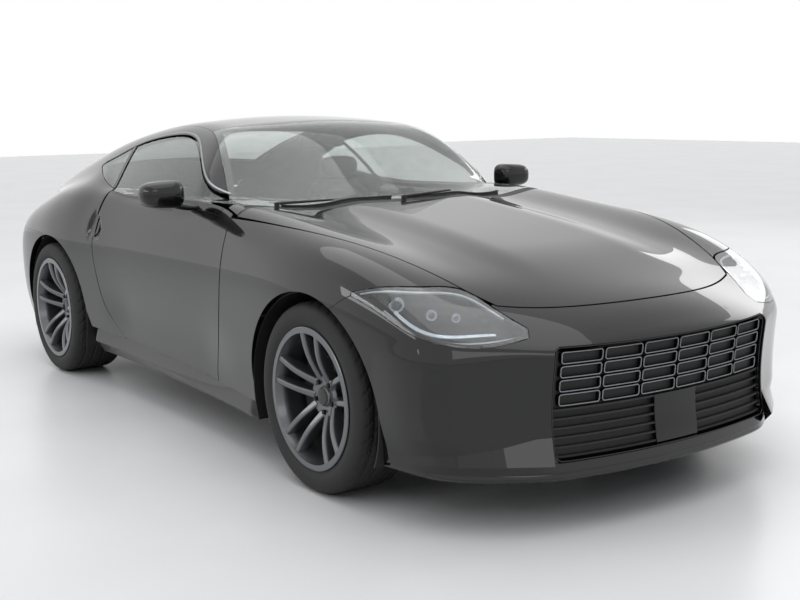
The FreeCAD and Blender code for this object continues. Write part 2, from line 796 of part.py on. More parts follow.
def quarter_glass_hole():
    outline = patch(constant(-1126), lambda z: DOOR_REAR(z) + 40, lambda x: QUARTER_GLASS_LOW(x),
                    lambda x: GLASS_TOP(x), 1080)
    return prism_through(outline, 400, 1000)


def hatch_outline(margin):
    """The tailgate's outline, larger at its sides by a margin."""
    return patch(hatch_front, hatch_rear, lambda a: -hatch_side(a) - margin,
                 lambda a: hatch_side(a) + margin, 0)


def hatch_hole():
    """The tailgate with its shut gap at the sides, to cut from the panels beside it."""
    return slab(round_back, hatch_outline(SHUT_GAP), (18, 10), LID_DEPTH + SHUT_GAP, 25)


def hatch():
    lid = slab(round_back, hatch_outline(0), (18, 10), LID_DEPTH, inset=(0.018, 0.01, 0.015, 0.015))
    window = patch(lambda y: hatch_front(y) + 5, constant(40), lambda a: 62 - hatch_side(a),
                   lambda a: hatch_side(a) - 62, 0)
    pane = patch(lambda y: hatch_front(y) + 1.5, constant(42.5), lambda a: 32 - hatch_side(a),
                 lambda a: hatch_side(a) - 32, 0)
    lid = lid.cut(slab(round_back, window, (8, 6), LID_DEPTH + 30, 30))
    lid = lid.cut(slab(round_back, pane, (10, 6), GLASS_DEPTH + SEAT_GAP, 30))
    keep("hatch", lid)
    margin = 1.5
    glass = patch(lambda y: hatch_front(y) + 1.5 + margin / 9, constant(42.5 - margin / 9),
                  lambda a: 32 + margin - hatch_side(a), lambda a: hatch_side(a) - 32 - margin, 0)
    keep("hatch_glass", slab(round_back, glass, (10, 6), GLASS_DEPTH))


def mouth(margin):
    """The air intake's opening, smaller by a margin, as a block with rounded corners."""
    half = real_y(MOUTH_HALF_WIDTH) - margin
    block = box((real_x(1700), NOSE_X + 200), (-half, half),
                (real_z(MOUTH_LOW) + margin, real_z(MOUTH_HIGH) - margin))
    along = [e for e in block.Edges if abs(e.tangentAt(e.FirstParameter).x) > 0.9]
    return block.makeFillet(MOUTH_CORNER, along)


def front_bumper(lamp_hole, lid_hole):
    outline = patch(constant(-80), constant(80), constant(BUMPER_BOTTOM), lambda a: BUMPER_TOP(abs(a)), 500)
    bumper = slab(round_nose, outline, (34, 10), BUMPER_DEPTH, aim=nose_ray)
    for cut in (mouth(0), FRONT_ARCH, mirrored(FRONT_ARCH), lamp_hole, mirrored(lamp_hole), lid_hole):
        bumper = bumper.cut(cut)
    keep("bumper_front", max(bumper.Solids, key=lambda s: s.Volume))


def headlamps(lid_hole):
    lamp = slab(round_nose, lamp_outline(-0.2), (14, 4), LAMP_DEPTH, -2, (0.03, 0.03, 0.06, 0.45), nose_ray)
    keep("headlamps", both_sides(lamp.cut(lid_hole)))


def grille_outline(margin):
    limit = math.degrees(math.atan2(MOUTH_HALF_WIDTH - margin, 920))
    return patch(constant(-limit), constant(limit), constant(MOUTH_LOW + margin),
                 constant(MOUTH_HIGH - margin), 400)


def grille():
    """A curved plate just behind the mouth: four rows of slots above, long bars with a panel below."""
    plate = slab(round_nose, grille_outline(-20), (20, 6), GRILLE_BACK, -GRILLE_FRONT, aim=nose_ray)
    plate = plate.common(mouth(SEAM_GAP))
    half = real_y(MOUTH_HALF_WIDTH)
    cuts = []
    columns = 6
    rows = 4
    pitch_y = 2 * (half - 28) / columns
    pitch_z = 46.0
    for column in range(columns):
        for row in range(rows):
            y = -half + 28 + pitch_y * column
            z = real_z(MOUTH_HIGH) - 14 - pitch_z * (row + 1)
            cuts.append(box((real_x(1900), NOSE_X), (y + 5, y + pitch_y - 5), (z + 5, z + pitch_z - 5)))
    bars = 5
    low = real_z(MOUTH_LOW) + 14
    pitch = (real_z(MOUTH_HIGH) - 14 - rows * pitch_z - low - 8) / bars
    for bar in range(bars):
        z = low + pitch * bar
        for side in (-1, 1):
            y = sorted((side * 105, side * (half - 34)))
            cuts.append(box((real_x(1900), NOSE_X), (y[0], y[1]), (z + 4, z + pitch - 5)))
    keep("grille", plate.cut(Part.makeCompound(cuts)))


def splitter():
    outline = patch(constant(-66), constant(66), constant(174), constant(BUMPER_BOTTOM - SEAM_GAP), 190)
    lip = slab(round_nose, outline, (34, 3), 60, -1, aim=nose_ray)
    lip = lip.cut(FRONT_ARCH).cut(mirrored(FRONT_ARCH))
    keep("splitter", max(lip.Solids, key=lambda s: s.Volume))


def below_sill_line():
    """The space under the fender and quarter panel, as a solid along Y."""
    outline = patch(constant(-1150), constant(1100), constant(60), lambda x: sill_top(x) + SEAM_GAP, 200)
    return prism_through(outline, 300, 1100)


def behind_quarter():
    """What the rear bumper takes from the quarter panel, as a solid along Y."""
    outline = patch(constant(-2300), constant(-1400), constant(60),
                    lambda x: BUMPER_REAR_TOP + SEAM_GAP, 400)
    return prism_through(outline, -1100, 1100)


def sills():
    outline = patch(constant(-862), constant(838), constant(172), lambda x: sill_top(x), 200)
    sill = slab(from_side, outline, (16, 4), SILL_DEPTH, aim=sideways)
    sill = sill.cut(box((TAIL_X, NOSE_X), (0, SILL_FACE), (0, HEIGHT)))
    sill = sill.cut(FRONT_ARCH).cut(REAR_ARCH)
    sill = max(sill.Solids, key=lambda s: s.Volume)
    keep("sills", both_sides(sill))


def sill_top(x):
    """Upper edge of the sill, below the door and the panels beside it."""
    return DOOR_BOTTOM(x) - SHUT_GAP / 2


def rear_bumper():
    outline = patch(constant(-74), constant(74), constant(BUMPER_REAR_LOW), constant(BUMPER_REAR_TOP), 450)
    bumper = slab(round_tail, outline, (34, 9), BUMPER_DEPTH, aim=tail_ray)
    opening = slab(round_tail, diffuser_outline(0, BUMPER_REAR_LOW - 40), (14, 4), 80, 40, aim=tail_ray)
    bumper = bumper.cut(REAR_ARCH).cut(mirrored(REAR_ARCH)).cut(opening)
    keep("bumper_rear", max(bumper.Solids, key=lambda s: s.Volume))


def lamp_band(hole):
    """The lamp band across the tail, or the hole that it fills."""
    margin = SEAM_GAP if hole else 0.0
    outline = patch(constant(-LAMP_BAND_END - margin * 0.1), constant(LAMP_BAND_END + margin * 0.1),
                    constant(BUMPER_REAR_TOP + SEAM_GAP - margin), constant(LAMP_BAND_TOP + margin), 780)
    if hole:
        return slab(round_tail, outline, (22, 3), 150, 40, aim=tail_ray)
    return slab(round_tail, outline, (22, 3), 40, 0, aim=tail_ray)


def tail_lamps():
    keep("tail_lamps", lamp_band(False))


def diffuser_outline(margin, low):
    """A trapezium below the number plate, wider at its foot."""
    def side(z):
        return DIFFUSER_TOP_ANGLE + (DIFFUSER_TOP - z) * DIFFUSER_SPREAD - margin / 16

    return patch(lambda z: -side(z), side, constant(low), constant(DIFFUSER_TOP - margin), 330)


def diffuser():
    panel = slab(round_tail, diffuser_outline(SEAM_GAP, DIFFUSER_LOW), (14, 4), 60, -8, aim=tail_ray)
    for side in (-1, 1):
        hole = rod(V(TAIL_X - 50, side * TIP_OFFSET, TIP_HEIGHT),
                   V(TAIL_X + 400, side * TIP_OFFSET, TIP_HEIGHT),
                   TIP_RADIUS + TIP_CLEARANCE)
        panel = panel.cut(hole)
    keep("diffuser", panel)


# Body structure behind the skin

def inner_profile(x_faces, inset_at, angles):
    """A cross-section just inside the skin, the narrower of two stations, as points of Y and Z."""
    points = []
    for angle in angles:
        a = math.radians(angle)
        ray = V(0, math.cos(a), math.sin(a))
        reach = []
        for x in x_faces:
            start = V(x, 0, real_z(GIRTH_HEIGHT))
            p = skin_point(start, ray, GIRTH_REACH)
            reach.append((p - start).Length - inset_at(angle) / max(outward(p).dot(ray), 0.4))
        r = min(reach)
        points.append((r * math.cos(a), real_z(GIRTH_HEIGHT) + r * math.sin(a)))
    return points


def cross_plate(x_faces, inset_at, angles, floor):
    """An upright plate across the car that follows the inside of the skin, flat below."""
    left = inner_profile(x_faces, inset_at, angles)
    right = [(-y, z) for y, z in reversed(left)]
    middle = inner_profile(x_faces, inset_at, [90])
    over = Part.BSplineCurve()
    over.interpolate([V(x_faces[0], y, z) for y, z in left + middle + right])
    corners = [V(x_faces[0], y, z)
               for y, z in (right[-1], (right[-1][0], floor), (left[0][0], floor), left[0])]
    edges = [over.toShape()] + [Part.makeLine(a, b) for a, b in zip(corners, corners[1:])]
    return Part.Face(Part.Wire(edges)).extrude(V(x_faces[1] - x_faces[0], 0, 0))


def floor_pan():
    """Floor with its tunnel and inner sills, one pressing from the bulkhead to the heel board."""
    t = FLOOR_TOP
    b = FLOOR_BOTTOM
    w = TUNNEL_HALF_WIDTH
    top = FLOOR_TOP + TUNNEL_HEIGHT
    wall = t - b
    inner = SILL_FACE - SILL_BOX_WIDTH
    half = [(SILL_FACE, b - 20), (SILL_FACE, SILL_BOX_TOP), (inner, SILL_BOX_TOP), (inner, t), (w, t),
            (w - 25, top)]
    under = [(w - 25 - wall, top - wall), (w - wall - 3, b), (inner - 30, b), (inner, b - 20)]
    outline = half + [(-y, z) for y, z in reversed(half)]
    outline += [(-y, z) for y, z in reversed(under)] + under
    points = [V(CABIN_REAR, y, z) for y, z in outline]
    keep("floor_pan", prism(points, V(CABIN_FRONT - CABIN_REAR, 0, 0)))


def tunnel_opening():
    """The way through for gearbox, shaft and pipe, as wide and high as the tunnel inside."""
    wall = FLOOR_TOP - FLOOR_BOTTOM
    half = TUNNEL_HALF_WIDTH - wall - 3
    top = FLOOR_TOP + TUNNEL_HEIGHT - wall
    return box((CABIN_REAR - 3 * PLATE, CABIN_FRONT + 3 * PLATE), (-half, half), (0, top))


def bulkhead():
    """Firewall between engine and cabin; its edge follows the inside of the fenders."""
    faces = (CABIN_FRONT, CABIN_FRONT + 2 * PLATE)

    def inset(angle):
        return PANEL_DEPTH + SEAM_GAP + min(max(angle - 12, 0) * 4, 36)

    plate = cross_plate(faces, inset, [-14, -7, 0, 7, 14, 20, 26, 34, 44, 56, 70], FLOOR_BOTTOM - 20)
    plate = plate.cut(tunnel_opening())
    sill_side = box((CABIN_FRONT - 1, CABIN_FRONT + 3 * PLATE), (SILL_FACE, WIDTH),
                    (0, real_z(sill_top(0) + 8)))
    plate = plate.cut(sill_side).cut(mirrored(sill_side))
    pillar = box((CABIN_FRONT - 190, CABIN_FRONT), (DASH_HALF_WIDTH + SEAT_GAP, DASH_HALF_WIDTH + 45),
                 (SILL_BOX_TOP, 860))
    keep("bulkhead", fused(plate, pillar, mirrored(pillar)))


def lid_stop(x, y, z_from):
    """A rubber-headed stop that a lid rests on, its dome just below the lid's inner face."""
    skin = from_above(x, y)
    centre = skin - outward(skin) * (LID_DEPTH + STOP_GAP + STOP_RADIUS)
    post = rod(V(centre.x, centre.y, z_from), centre, STOP_RADIUS)
    return post.fuse(Part.makeSphere(STOP_RADIUS, centre))


def engine_bay():
    """Inner wings, rails and the cross member that carries the radiator."""
    x0 = CABIN_FRONT + 2 * PLATE
    x1 = FRONT_AXLE + 640
    wing = [(x0, 250), (x0, 830), (FRONT_AXLE - 60, 800), (FRONT_AXLE + 120, 770), (x1, 640), (x1, 250)]
    wall = prism([V(x, BAY_HALF_WIDTH, z) for x, z in wing], V(0, PLATE, 0))
    rail = box((x0, x1 + 90), (BAY_HALF_WIDTH - 55, BAY_HALF_WIDTH), (330, 430))
    side = wall.fuse(rail)
    cross_low = box((x1, x1 + 30), (-BAY_HALF_WIDTH - PLATE, BAY_HALF_WIDTH + PLATE), (215, 260))
    cross_top = box((x1, x1 + 30), (-BAY_HALF_WIDTH - PLATE, BAY_HALF_WIDTH + PLATE), (615, 645))
    post = box((x1, x1 + 30), (BAY_HALF_WIDTH - 30, BAY_HALF_WIDTH + PLATE), (215, 645))
    beam = box((x1 + 90, x1 + 130), (-BAY_HALF_WIDTH - 40, BAY_HALF_WIDTH + 40), (335, 425))
    stop = lid_stop(x1 + 15, BONNET_STOP_OFFSET, 630)
    keep("engine_bay", fused(side, mirrored(side), cross_low, cross_top, post, mirrored(post), beam, stop,
                             mirrored(stop)))


def rear_floor():
    """Heel board, luggage floor with wheel-house walls, and the panel behind the rear bumper."""
    wide = REAR_TUB_HALF_WIDTH
    x0 = CABIN_REAR
    x1 = REAR_WALL
    inside_doors = SILL_FACE - SILL_BOX_WIDTH
    heel = box((x0 - 2 * PLATE, x0), (-inside_doors, inside_doors), (FLOOR_BOTTOM - 20, LUGGAGE_FLOOR))
    heel = heel.fuse(box((x0 - 2 * PLATE, x0), (-SILL_FACE, SILL_FACE), (FLOOR_BOTTOM - 20, SILL_BOX_TOP)))
    deck = box((x1, x0), (-wide, wide), (LUGGAGE_FLOOR, LUGGAGE_FLOOR + PLATE))
    wall = box((x1, x0 - 2 * PLATE), (wide - PLATE, wide), (300, REAR_WALL_TOP))
    end = box((x1 - PLATE, x1), (-wide, wide), (SILENCER_TOP, REAR_WALL_TOP))
    arms_opening = box((REAR_AXLE - 170, REAR_AXLE + 150), (-wide, wide), (0, ARMS_OPENING_REAR))
    heel = heel.cut(tunnel_opening())
    wall = wall.cut(arms_opening)
    stop = lid_stop(x1 - PLATE / 2, HATCH_STOP_OFFSET, REAR_WALL_TOP - 10)
    keep("rear_floor", fused(heel, deck, wall, mirrored(wall), end, stop, mirrored(stop)))


def arch_liners():
    """Plastic shells over the wheels, closed on the inside."""
    shells = []
    front = (FRONT_AXLE, ARCH_REACH_FRONT, ARCH_RISE_FRONT, BAY_HALF_WIDTH + 25, ARMS_OPENING_FRONT, 95)
    rear = (REAR_AXLE, ARCH_REACH_REAR, ARCH_RISE_REAR, REAR_TUB_HALF_WIDTH + 4, ARMS_OPENING_REAR, 170)
    for axle, reach, rise, inside, opening, half in (front, rear):
        outer = arch_hole(axle, reach, rise, ARCH_CENTRE, inside, LINER_EDGE, SEAM_GAP)
        inner = arch_hole(axle, reach, rise, ARCH_CENTRE, inside + LINER_THICKNESS, LINER_EDGE + 1,
                          LINER_THICKNESS + SEAM_GAP)
        shell = outer.cut(inner).cut(box((axle - 500, axle + 500), (0, 1000), (-200, LINER_FOOT)))
        shell = shell.cut(box((axle - half, axle + half), (inside - 2, inside + 10), (0, opening)))
        shells.append(shell)
    both = shells + [mirrored(s) for s in shells]
    keep("arch_liners", Part.makeCompound(both))


def front_tray():
    """Flat tray below the engine bay."""
    half = [(CABIN_FRONT + 2 * PLATE + SEAM_GAP, 400), (FRONT_AXLE + 440, 400), (FRONT_AXLE + 480, 690),
            (NOSE_X - 330, 690), (NOSE_X - 150, 400), (NOSE_X - 100, 0)]
    outline = half + [(x, -y) for x, y in reversed(half[:-1])]
    keep("front_tray", prism([V(x, y, TRAY_HEIGHT) for x, y in outline], V(0, 0, 8)))


# Mechanical parts

def powertrain():
    """Engine as one block at its size and place, with gearbox and propeller shaft."""
    rear = FRONT_AXLE - 330
    block = box((rear, FRONT_AXLE + 290), (-260, 260), (ENGINE_BOTTOM, ENGINE_BOTTOM + 470))
    gearbox = rod(V(rear, 0, GEARBOX_HEIGHT), V(rear - 640, 0, GEARBOX_HEIGHT), 92)
    shaft = rod(V(rear - 640, 0, SHAFT_HEIGHT), V(REAR_AXLE + 160 + SEAT_GAP, 0, SHAFT_HEIGHT), 38)
    keep("powertrain", fused(block, gearbox, shaft))


def coil_damper(x, y, z_low, z_high, spring_radius):
    """Damper body, rod, seats and spring sleeve as one turned shape."""
    profile = [(0, 0), (30, 0), (30, 0.35), (spring_radius, 0.38), (spring_radius, 0.42),
               (spring_radius - 9, 0.43), (spring_radius - 9, 0.92), (spring_radius, 0.93),
               (spring_radius, 1), (0, 1)]
    height = z_high - z_low
    points = [V(x + r, y, z_low + s * height) for r, s in profile]
    return Part.Face(Part.makePolygon([*points, points[0]])).revolve(V(x, y, 0), V(0, 0, 1), 360)


def arm(inner, outer, width_in, width_out, thick):
    """A tapered suspension arm between two points, with an eye at its outer end."""
    along = outer - inner
    side = V(-along.y, along.x, 0).normalize()
    down = V(0, 0, thick / 2)
    corners = [inner + side * (width_in / 2), outer + side * (width_out / 2),
               outer - side * (width_out / 2), inner - side * (width_in / 2)]
    plate = prism([c - down for c in corners], V(0, 0, thick))
    eye = Part.makeCylinder(width_out / 2 + 4, thick, outer - down)
    return plate.fuse(eye)


def front_axle():
    """Subframe, steering rack, arms and coil dampers of both front wheels."""
    x = FRONT_AXLE
    kingpin = TRACK_FRONT / 2 - KINGPIN_INSET
    low = WHEEL_CENTRE - BALL_DROP
    high = WHEEL_CENTRE + BALL_RISE
    beam = box((x - 75, x + 75), (-330, 330), (SUBFRAME_BOTTOM, ENGINE_BOTTOM))
    rack = rod(V(x - 115, -418, RACK_HEIGHT), V(x - 115, 418, RACK_HEIGHT), 24)
    rack_mount = box((x - 120, x - 60), (-200, 200), (SUBFRAME_BOTTOM, RACK_HEIGHT))
    half = arm(V(x, 320, low - 13.5), V(x, kingpin, low - 13.5), 150, 46, 26)
    upper = arm(V(x, 405, high + 11.5), V(x, kingpin, high + 11.5), 120, 40, 22)
    bracket = box((x - 50, x + 50), (BAY_HALF_WIDTH + PLATE, BAY_HALF_WIDTH + 62), (high + 2, high + 22))
    damper = coil_damper(x, DAMPER_OFFSET, low - 14, ARCH_CENTRE + ARCH_RISE_FRONT - 14, 44)
    upper = upper.cut(box((x - 200, x + 200), (0, BAY_HALF_WIDTH + PLATE), (0, 900)))
    side = [half, upper, damper, bracket]
    keep("front_axle", fused(beam, rack, rack_mount, *side, *[mirrored(s) for s in side]))


def caliper(x, y, z, turn, depth):
    """A brake caliper round the edge of a disc that stands at y."""
    reach = DISC_RADIUS + 22
    outer = Part.makeCylinder(reach, depth, V(x, y - depth / 2, z), V(0, 1, 0))
    core = Part.makeCylinder(DISC_RADIUS - 62, depth + 2, V(x, y - depth / 2 - 1, z), V(0, 1, 0))
    slot = Part.makeCylinder(DISC_RADIUS + 6, DISC_THICKNESS + 10, V(x, y - DISC_THICKNESS / 2 - 5, z),
                             V(0, 1, 0))
    wedge = prism([V(x, y - depth, z), V(x + 400 * math.cos(math.radians(turn - 30)), y - depth,
                                         z + 400 * math.sin(math.radians(turn - 30))),
                   V(x + 400 * math.cos(math.radians(turn + 30)), y - depth,
                     z + 400 * math.sin(math.radians(turn + 30)))], V(0, 2 * depth, 0))
    return outer.cut(core).cut(slot).common(wedge)


def hub_carrier(x, y_disc, z, turn, depth):
    """Upright behind a wheel: bearing housing with its bore, plate and caliper."""
    back = y_disc - DISC_THICKNESS / 2 - 8
    housing = Part.makeCylinder(62, HUB_DEPTH, V(x, back - HUB_DEPTH, z), V(0, 1, 0))
    web = box((0, 150), (-11, 11), (-45, 45))
    web.rotate(V(0, 0, 0), V(0, 1, 0), -turn)
    web.translate(V(x, back - 19, z))
    grip = caliper(x, y_disc, z, turn, depth)
    bore = Part.makeCylinder(HUB_BORE_RADIUS, HUB_DEPTH + 40, V(x, back - HUB_DEPTH - 20, z), V(0, 1, 0))
    return housing.fuse([web, grip]).cut(bore)


def knuckles():
    """Front uprights, turning with the wheels between the two ball joints."""
    x = FRONT_AXLE
    y_wheel = TRACK_FRONT / 2
    kingpin = y_wheel - KINGPIN_INSET
    disc = y_wheel + DISC_PLANE
    low = WHEEL_CENTRE - BALL_DROP
    high = WHEEL_CENTRE + BALL_RISE
    carrier = hub_carrier(x, disc, WHEEL_CENTRE, 180, CALIPER_DEPTH)
    back = disc - DISC_THICKNESS / 2 - 8
    post_low = box((x - 20, x + 20), (kingpin - 18, back - 4), (low, WHEEL_CENTRE - 45))
    post_high = box((x - 20, x + 20), (kingpin - 18, back - 4), (WHEEL_CENTRE + 45, high))
    joint_low = Part.makeCylinder(22, 14, V(x, kingpin, low))
    joint_high = Part.makeCylinder(20, 14, V(x, kingpin, high - 14))
    bore = Part.makeCylinder(HUB_BORE_RADIUS, 300, V(x, kingpin - 100, WHEEL_CENTRE), V(0, 1, 0))
    knuckle = fused(carrier, post_low, post_high, joint_low, joint_high).cut(bore)
    keep("knuckle_front_left", knuckle)
    keep("knuckle_front_right", mirrored(knuckle))


def rear_axle():
    """Rear subframe with the differential, drive shafts' housings, arms, uprights and coil dampers."""
    x = REAR_AXLE
    z = WHEEL_CENTRE_REAR
    disc = TRACK_REAR / 2 + DISC_PLANE
    back = disc - DISC_THICKNESS / 2 - 8
    case = box((x - 150, x + 160), (-140, 140), (SHAFT_HEIGHT - 95, SHAFT_HEIGHT + 95))
    beam_front = box((x + 110, x + 160), (-430, 430), (SHAFT_HEIGHT - 95, SHAFT_HEIGHT - 45))
    beam_rear = box((x - 190, x - 140), (-430, 430), (SHAFT_HEIGHT - 95, SHAFT_HEIGHT - 45))
    side = [arm(V(x + 60, 380, z - 130), V(x, back - 60, z - 95), 240, 60, 24),
            arm(V(x, 400, z + 118), V(x, back - 60, z + 90), 90, 50, 20),
            box((x - 170, x + 140), (330, 430), (SHAFT_HEIGHT - 95, SHAFT_HEIGHT - 45)),
            box((x - 40, x + 40), (395, 440), (SHAFT_HEIGHT - 70, z + 128)),
            rod(V(x, 130, z), V(x, back - HUB_DEPTH - 10, z), 24),
            coil_damper(x + 20, REAR_DAMPER_OFFSET, z - 130, LUGGAGE_FLOOR - SEAM_GAP, 46),
            box((x - 28, x + 28), (back - 75, back - 19), (z - 115, z - 50)),
            box((x - 28, x + 28), (back - 75, back - 19), (z + 50, z + 104)),
            hub_carrier(x, disc, z, 0, CALIPER_DEPTH)]
    axle = fused(case, beam_front, beam_rear, *side, *[mirrored(s) for s in side])
    for sign in (1, -1):
        axle = axle.cut(rod(V(x, sign * (back - HUB_DEPTH - 10), z), V(x, sign * 900, z), HUB_BORE_RADIUS))
    keep("rear_axle", axle)


def exhaust():
    """Pipe under the tunnel, silencer on its hangers, and two tailpipes at the silencer's ends."""
    x = TAIL_X + 330
    end = TAIL_X + 22
    z = PIPE_HEIGHT + 78
    pipe = rod(V(260, PIPE_OFFSET, PIPE_HEIGHT), V(x + 70, PIPE_OFFSET, PIPE_HEIGHT), 32)
    silencer = rod(V(x, -SILENCER_HALF, z), V(x, SILENCER_HALF, z), SILENCER_RADIUS)
    hangers = [box((x - 10, x + 10), (y - 12, y + 12), (z, LUGGAGE_FLOOR - SEAM_GAP)) for y in (-300, 300)]
    keep("exhaust", fused(pipe, silencer, *hangers))
    beside = rod(V(x, 0, z), V(x, SILENCER_HALF + SEAT_GAP, z), SILENCER_RADIUS + SEAT_GAP)
    tip = rod(V(x, TIP_OFFSET, TIP_HEIGHT), V(end, TIP_OFFSET, TIP_HEIGHT), TIP_RADIUS)
    bore = rod(V(end + TIP_DEPTH, TIP_OFFSET, TIP_HEIGHT), V(TAIL_X, TIP_OFFSET, TIP_HEIGHT), TIP_RADIUS - 4)
    keep("tailpipes", both_sides(tip.cut(beside).cut(bore)))


def radiator():
    x = FRONT_AXLE + 670 + SEAT_GAP
    keep("radiator", box((x, x + 42), (-360, 360), (245, 630)))


# Cabin

def dashboard():
    """Dashboard and console, cut back at the doors."""
    outline = [(CABIN_FRONT - 1, 560), (CABIN_FRONT - 1, 896), (610, 903), (480, 880), (395, 800),
               (400, 720),
               (470, 640), (520, 560)]
    dash = prism([V(x, -DASH_HALF_WIDTH, real_z(z)) for x, z in outline], V(0, 2 * DASH_HALF_WIDTH, 0))
    top = FLOOR_TOP + TUNNEL_HEIGHT
    console = prism([V(x, -CONSOLE_HALF_WIDTH, z) for x, z in
                     ((560, top + 0.5), (560, 700), (430, 700), (330, 560), (-300, 545), (-420, 500),
                      (-420, top + 0.5))], V(0, 2 * CONSOLE_HALF_WIDTH, 0))
    keep("dashboard", fused(dash, console, column()))


def seat(y):
    """A bucket seat: cushion, back and headrest, on rails that stand on the floor."""
    w = SEAT_WIDTH / 2
    h = SEAT_HEIGHT
    x = SEAT_FRONT
    cushion = prism([V(px, y - w, pz) for px, pz in
                     ((x, h - 60), (x + 18, h + 25), (x - 60, h + 50), (x - 460, h + 10), (x - 470, h - 120),
                      (x - 40, h - 105))], V(0, 2 * w, 0))
    back = prism([V(px, y - w + 15, pz) for px, pz in
                  ((x - 430, h - 60), (x - 400, h + 60), (x - 500, h + 520), (x - 560, h + 560),
                   (x - 620, h + 510), (x - 560, h - 40))], V(0, 2 * w - 30, 0))
    head = prism([V(px, y - 130, pz) for px, pz in
                  ((x - 515, h + 545), (x - 500, h + 620), (x - 530, h + 690), (x - 600, h + 690),
                   (x - 615, h + 560), (x - 560, h + 540))], V(0, 260, 0))
    seat_shape = fused(cushion, back, head)
    rails = [box((x - 430, x - 60), (y + s * (w - 60) - 15, y + s * (w - 60) + 15), (FLOOR_TOP, h - 100))
             for s in (-1, 1)]
    return fused(seat_shape, *rails)


def steering_wheel():
    """Rim, three spokes and boss, square to the column."""
    centre = steering_centre()
    rim = Part.makeTorus(STEERING_WHEEL_RADIUS, 15)
    boss = Part.makeCylinder(62, 40, V(0, 0, -38))
    spokes = [box((-18, 18), (40, STEERING_WHEEL_RADIUS - 4), (-16, 0)) for _ in range(3)]
    for spoke, turn in zip(spokes, (90, -90, 180)):
        spoke.rotate(V(0, 0, 0), V(0, 0, 1), turn)
    stub = Part.makeCylinder(18, 50, V(0, 0, -85))
    wheel = fused(rim, boss, stub, *spokes)
    wheel.rotate(V(0, 0, 0), V(0, 1, 0), -90 + STEERING_WHEEL_TILT)
    wheel.translate(centre)
    keep("steering_wheel", wheel)


def steering_centre():
    return V(STEERING_X, -SEAT_OFFSET, STEERING_Z)


def column():
    """Steering column from the dashboard to the wheel's stub."""
    centre = steering_centre()
    t = math.radians(STEERING_WHEEL_TILT)
    along = V(-math.cos(t), 0, math.sin(t))
    start = centre - along * 86
    return rod(start, start - along * 200, 42)


def luggage_trim():
    """Carpeted floor and side boxes of the load space."""
    wide = REAR_TUB_HALF_WIDTH - PLATE - 2
    floor = box((REAR_WALL + 2, CABIN_REAR - 2 * PLATE), (-wide, wide),
                (LUGGAGE_FLOOR + PLATE, LUGGAGE_FLOOR + PLATE + 18))
    keep("luggage_floor", floor)


def mirrors():
    """Door mirrors: housing on a short arm."""
    x, y, drawn_z = MIRROR
    z = real_z(drawn_z)
    shell = Part.makeSphere(1)
    matrix = FreeCAD.Matrix()
    matrix.scale(V(62, 92, 66))
    shell = shell.transformGeometry(matrix)
    shell = shell.common(box((-26, 70), (-100, 100), (-58, 80)))
    shell.translate(V(x, y, z))
    root = [(x - 30, drawn_z - 76), (x + 50, drawn_z - 76), (x + 40, drawn_z - 46), (x - 26, drawn_z - 46)]
    rest = {pz: max(from_side(px, pz).y for px, q in root if q == pz) + SEAM_GAP for _, pz in root}
    near = [V(px, rest[pz], real_z(pz)) for px, pz in root]
    far = [V(px, y - 20, real_z(pz) + 26) for px, pz in root]
    foot = Part.makeLoft([Part.makePolygon([*q, q[0]]) for q in (near, far)], True, True)
    mirror = fused(shell, foot)
    keep("mirror_left", mirror)
    keep("mirror_right", mirrored(mirror))


# Wheels, built round their own centre with the outer face towards +Y

def turned(points):
    """A closed outline of (radius, across) turned round the wheel's axle."""
    wire = [V(0, w, r) for r, w in points]
    return Part.Face(Part.makePolygon([*wire, wire[0]])).revolve(V(0, 0, 0), V(0, 1, 0), 360)


def tyre(radius, width):
    h = width / 2
    bead = RIM_RADIUS + SEAT_GAP
    rim_half = width / 2 - 6
    outline = [(bead, rim_half - 12), (radius - 52, h), (radius - 9, h - 12), (radius, h - 36)]
    return turned(outline + [(r, -w) for r, w in reversed(outline)])


def rim(width):
    """Barrel with its two lips, dished spokes in five pairs, and the hub."""
    half = width / 2 - 4
    outer = [(RIM_RADIUS - 6, half), (RIM_RADIUS + 16, half), (RIM_RADIUS + 16, half - 6),
             (RIM_RADIUS, half - 9)]
    drop = [(RIM_RADIUS, half - 60), (RIM_RADIUS - 14, half - 72), (RIM_RADIUS - 14, 74 - half),
            (RIM_RADIUS, 60 - half), (RIM_RADIUS, 9 - half), (RIM_RADIUS + 16, 6 - half),
            (RIM_RADIUS + 16, -half), (RIM_RADIUS - 6, -half), (RIM_RADIUS - 22, 60 - half),
            (RIM_RADIUS - 22, half - 50)]
    barrel = turned(outer + drop)
    hub = turned([(0, HUB_FACE), (82, HUB_FACE), (82, HUB_FACE + 34), (70, HUB_FACE + 40),
                  (38, HUB_FACE + 30),
                  (36, HUB_FACE + 44), (0, HUB_FACE + 46)])
    spokes = []
    for pair in range(5):
        for lean in (-1, 1):
            spoke = Part.makeLoft([spoke_section(60, lean * 26, 17, HUB_FACE + 6, HUB_FACE + 38),
                                   spoke_section(140, lean * 34, 13, HUB_FACE + 24, half - 22),
                                   spoke_section(RIM_RADIUS - 12, lean * 46, 11, half - 34, half - 4)],
                                  True, True)
            spoke.rotate(V(0, 0, 0), V(0, 1, 0), 72 * pair)
            spokes.append(spoke)
    return barrel.fuse([hub, *spokes])


def spoke_section(radius, offset, half_width, w_in, w_out):
    """A four-sided cut across a spoke at a radius."""
    points = [V(offset - half_width, w_in, radius), V(offset + half_width, w_in, radius),
              V(offset + half_width * 0.8, w_out, radius), V(offset - half_width * 0.8, w_out, radius)]
    return Part.makePolygon([*points, points[0]])


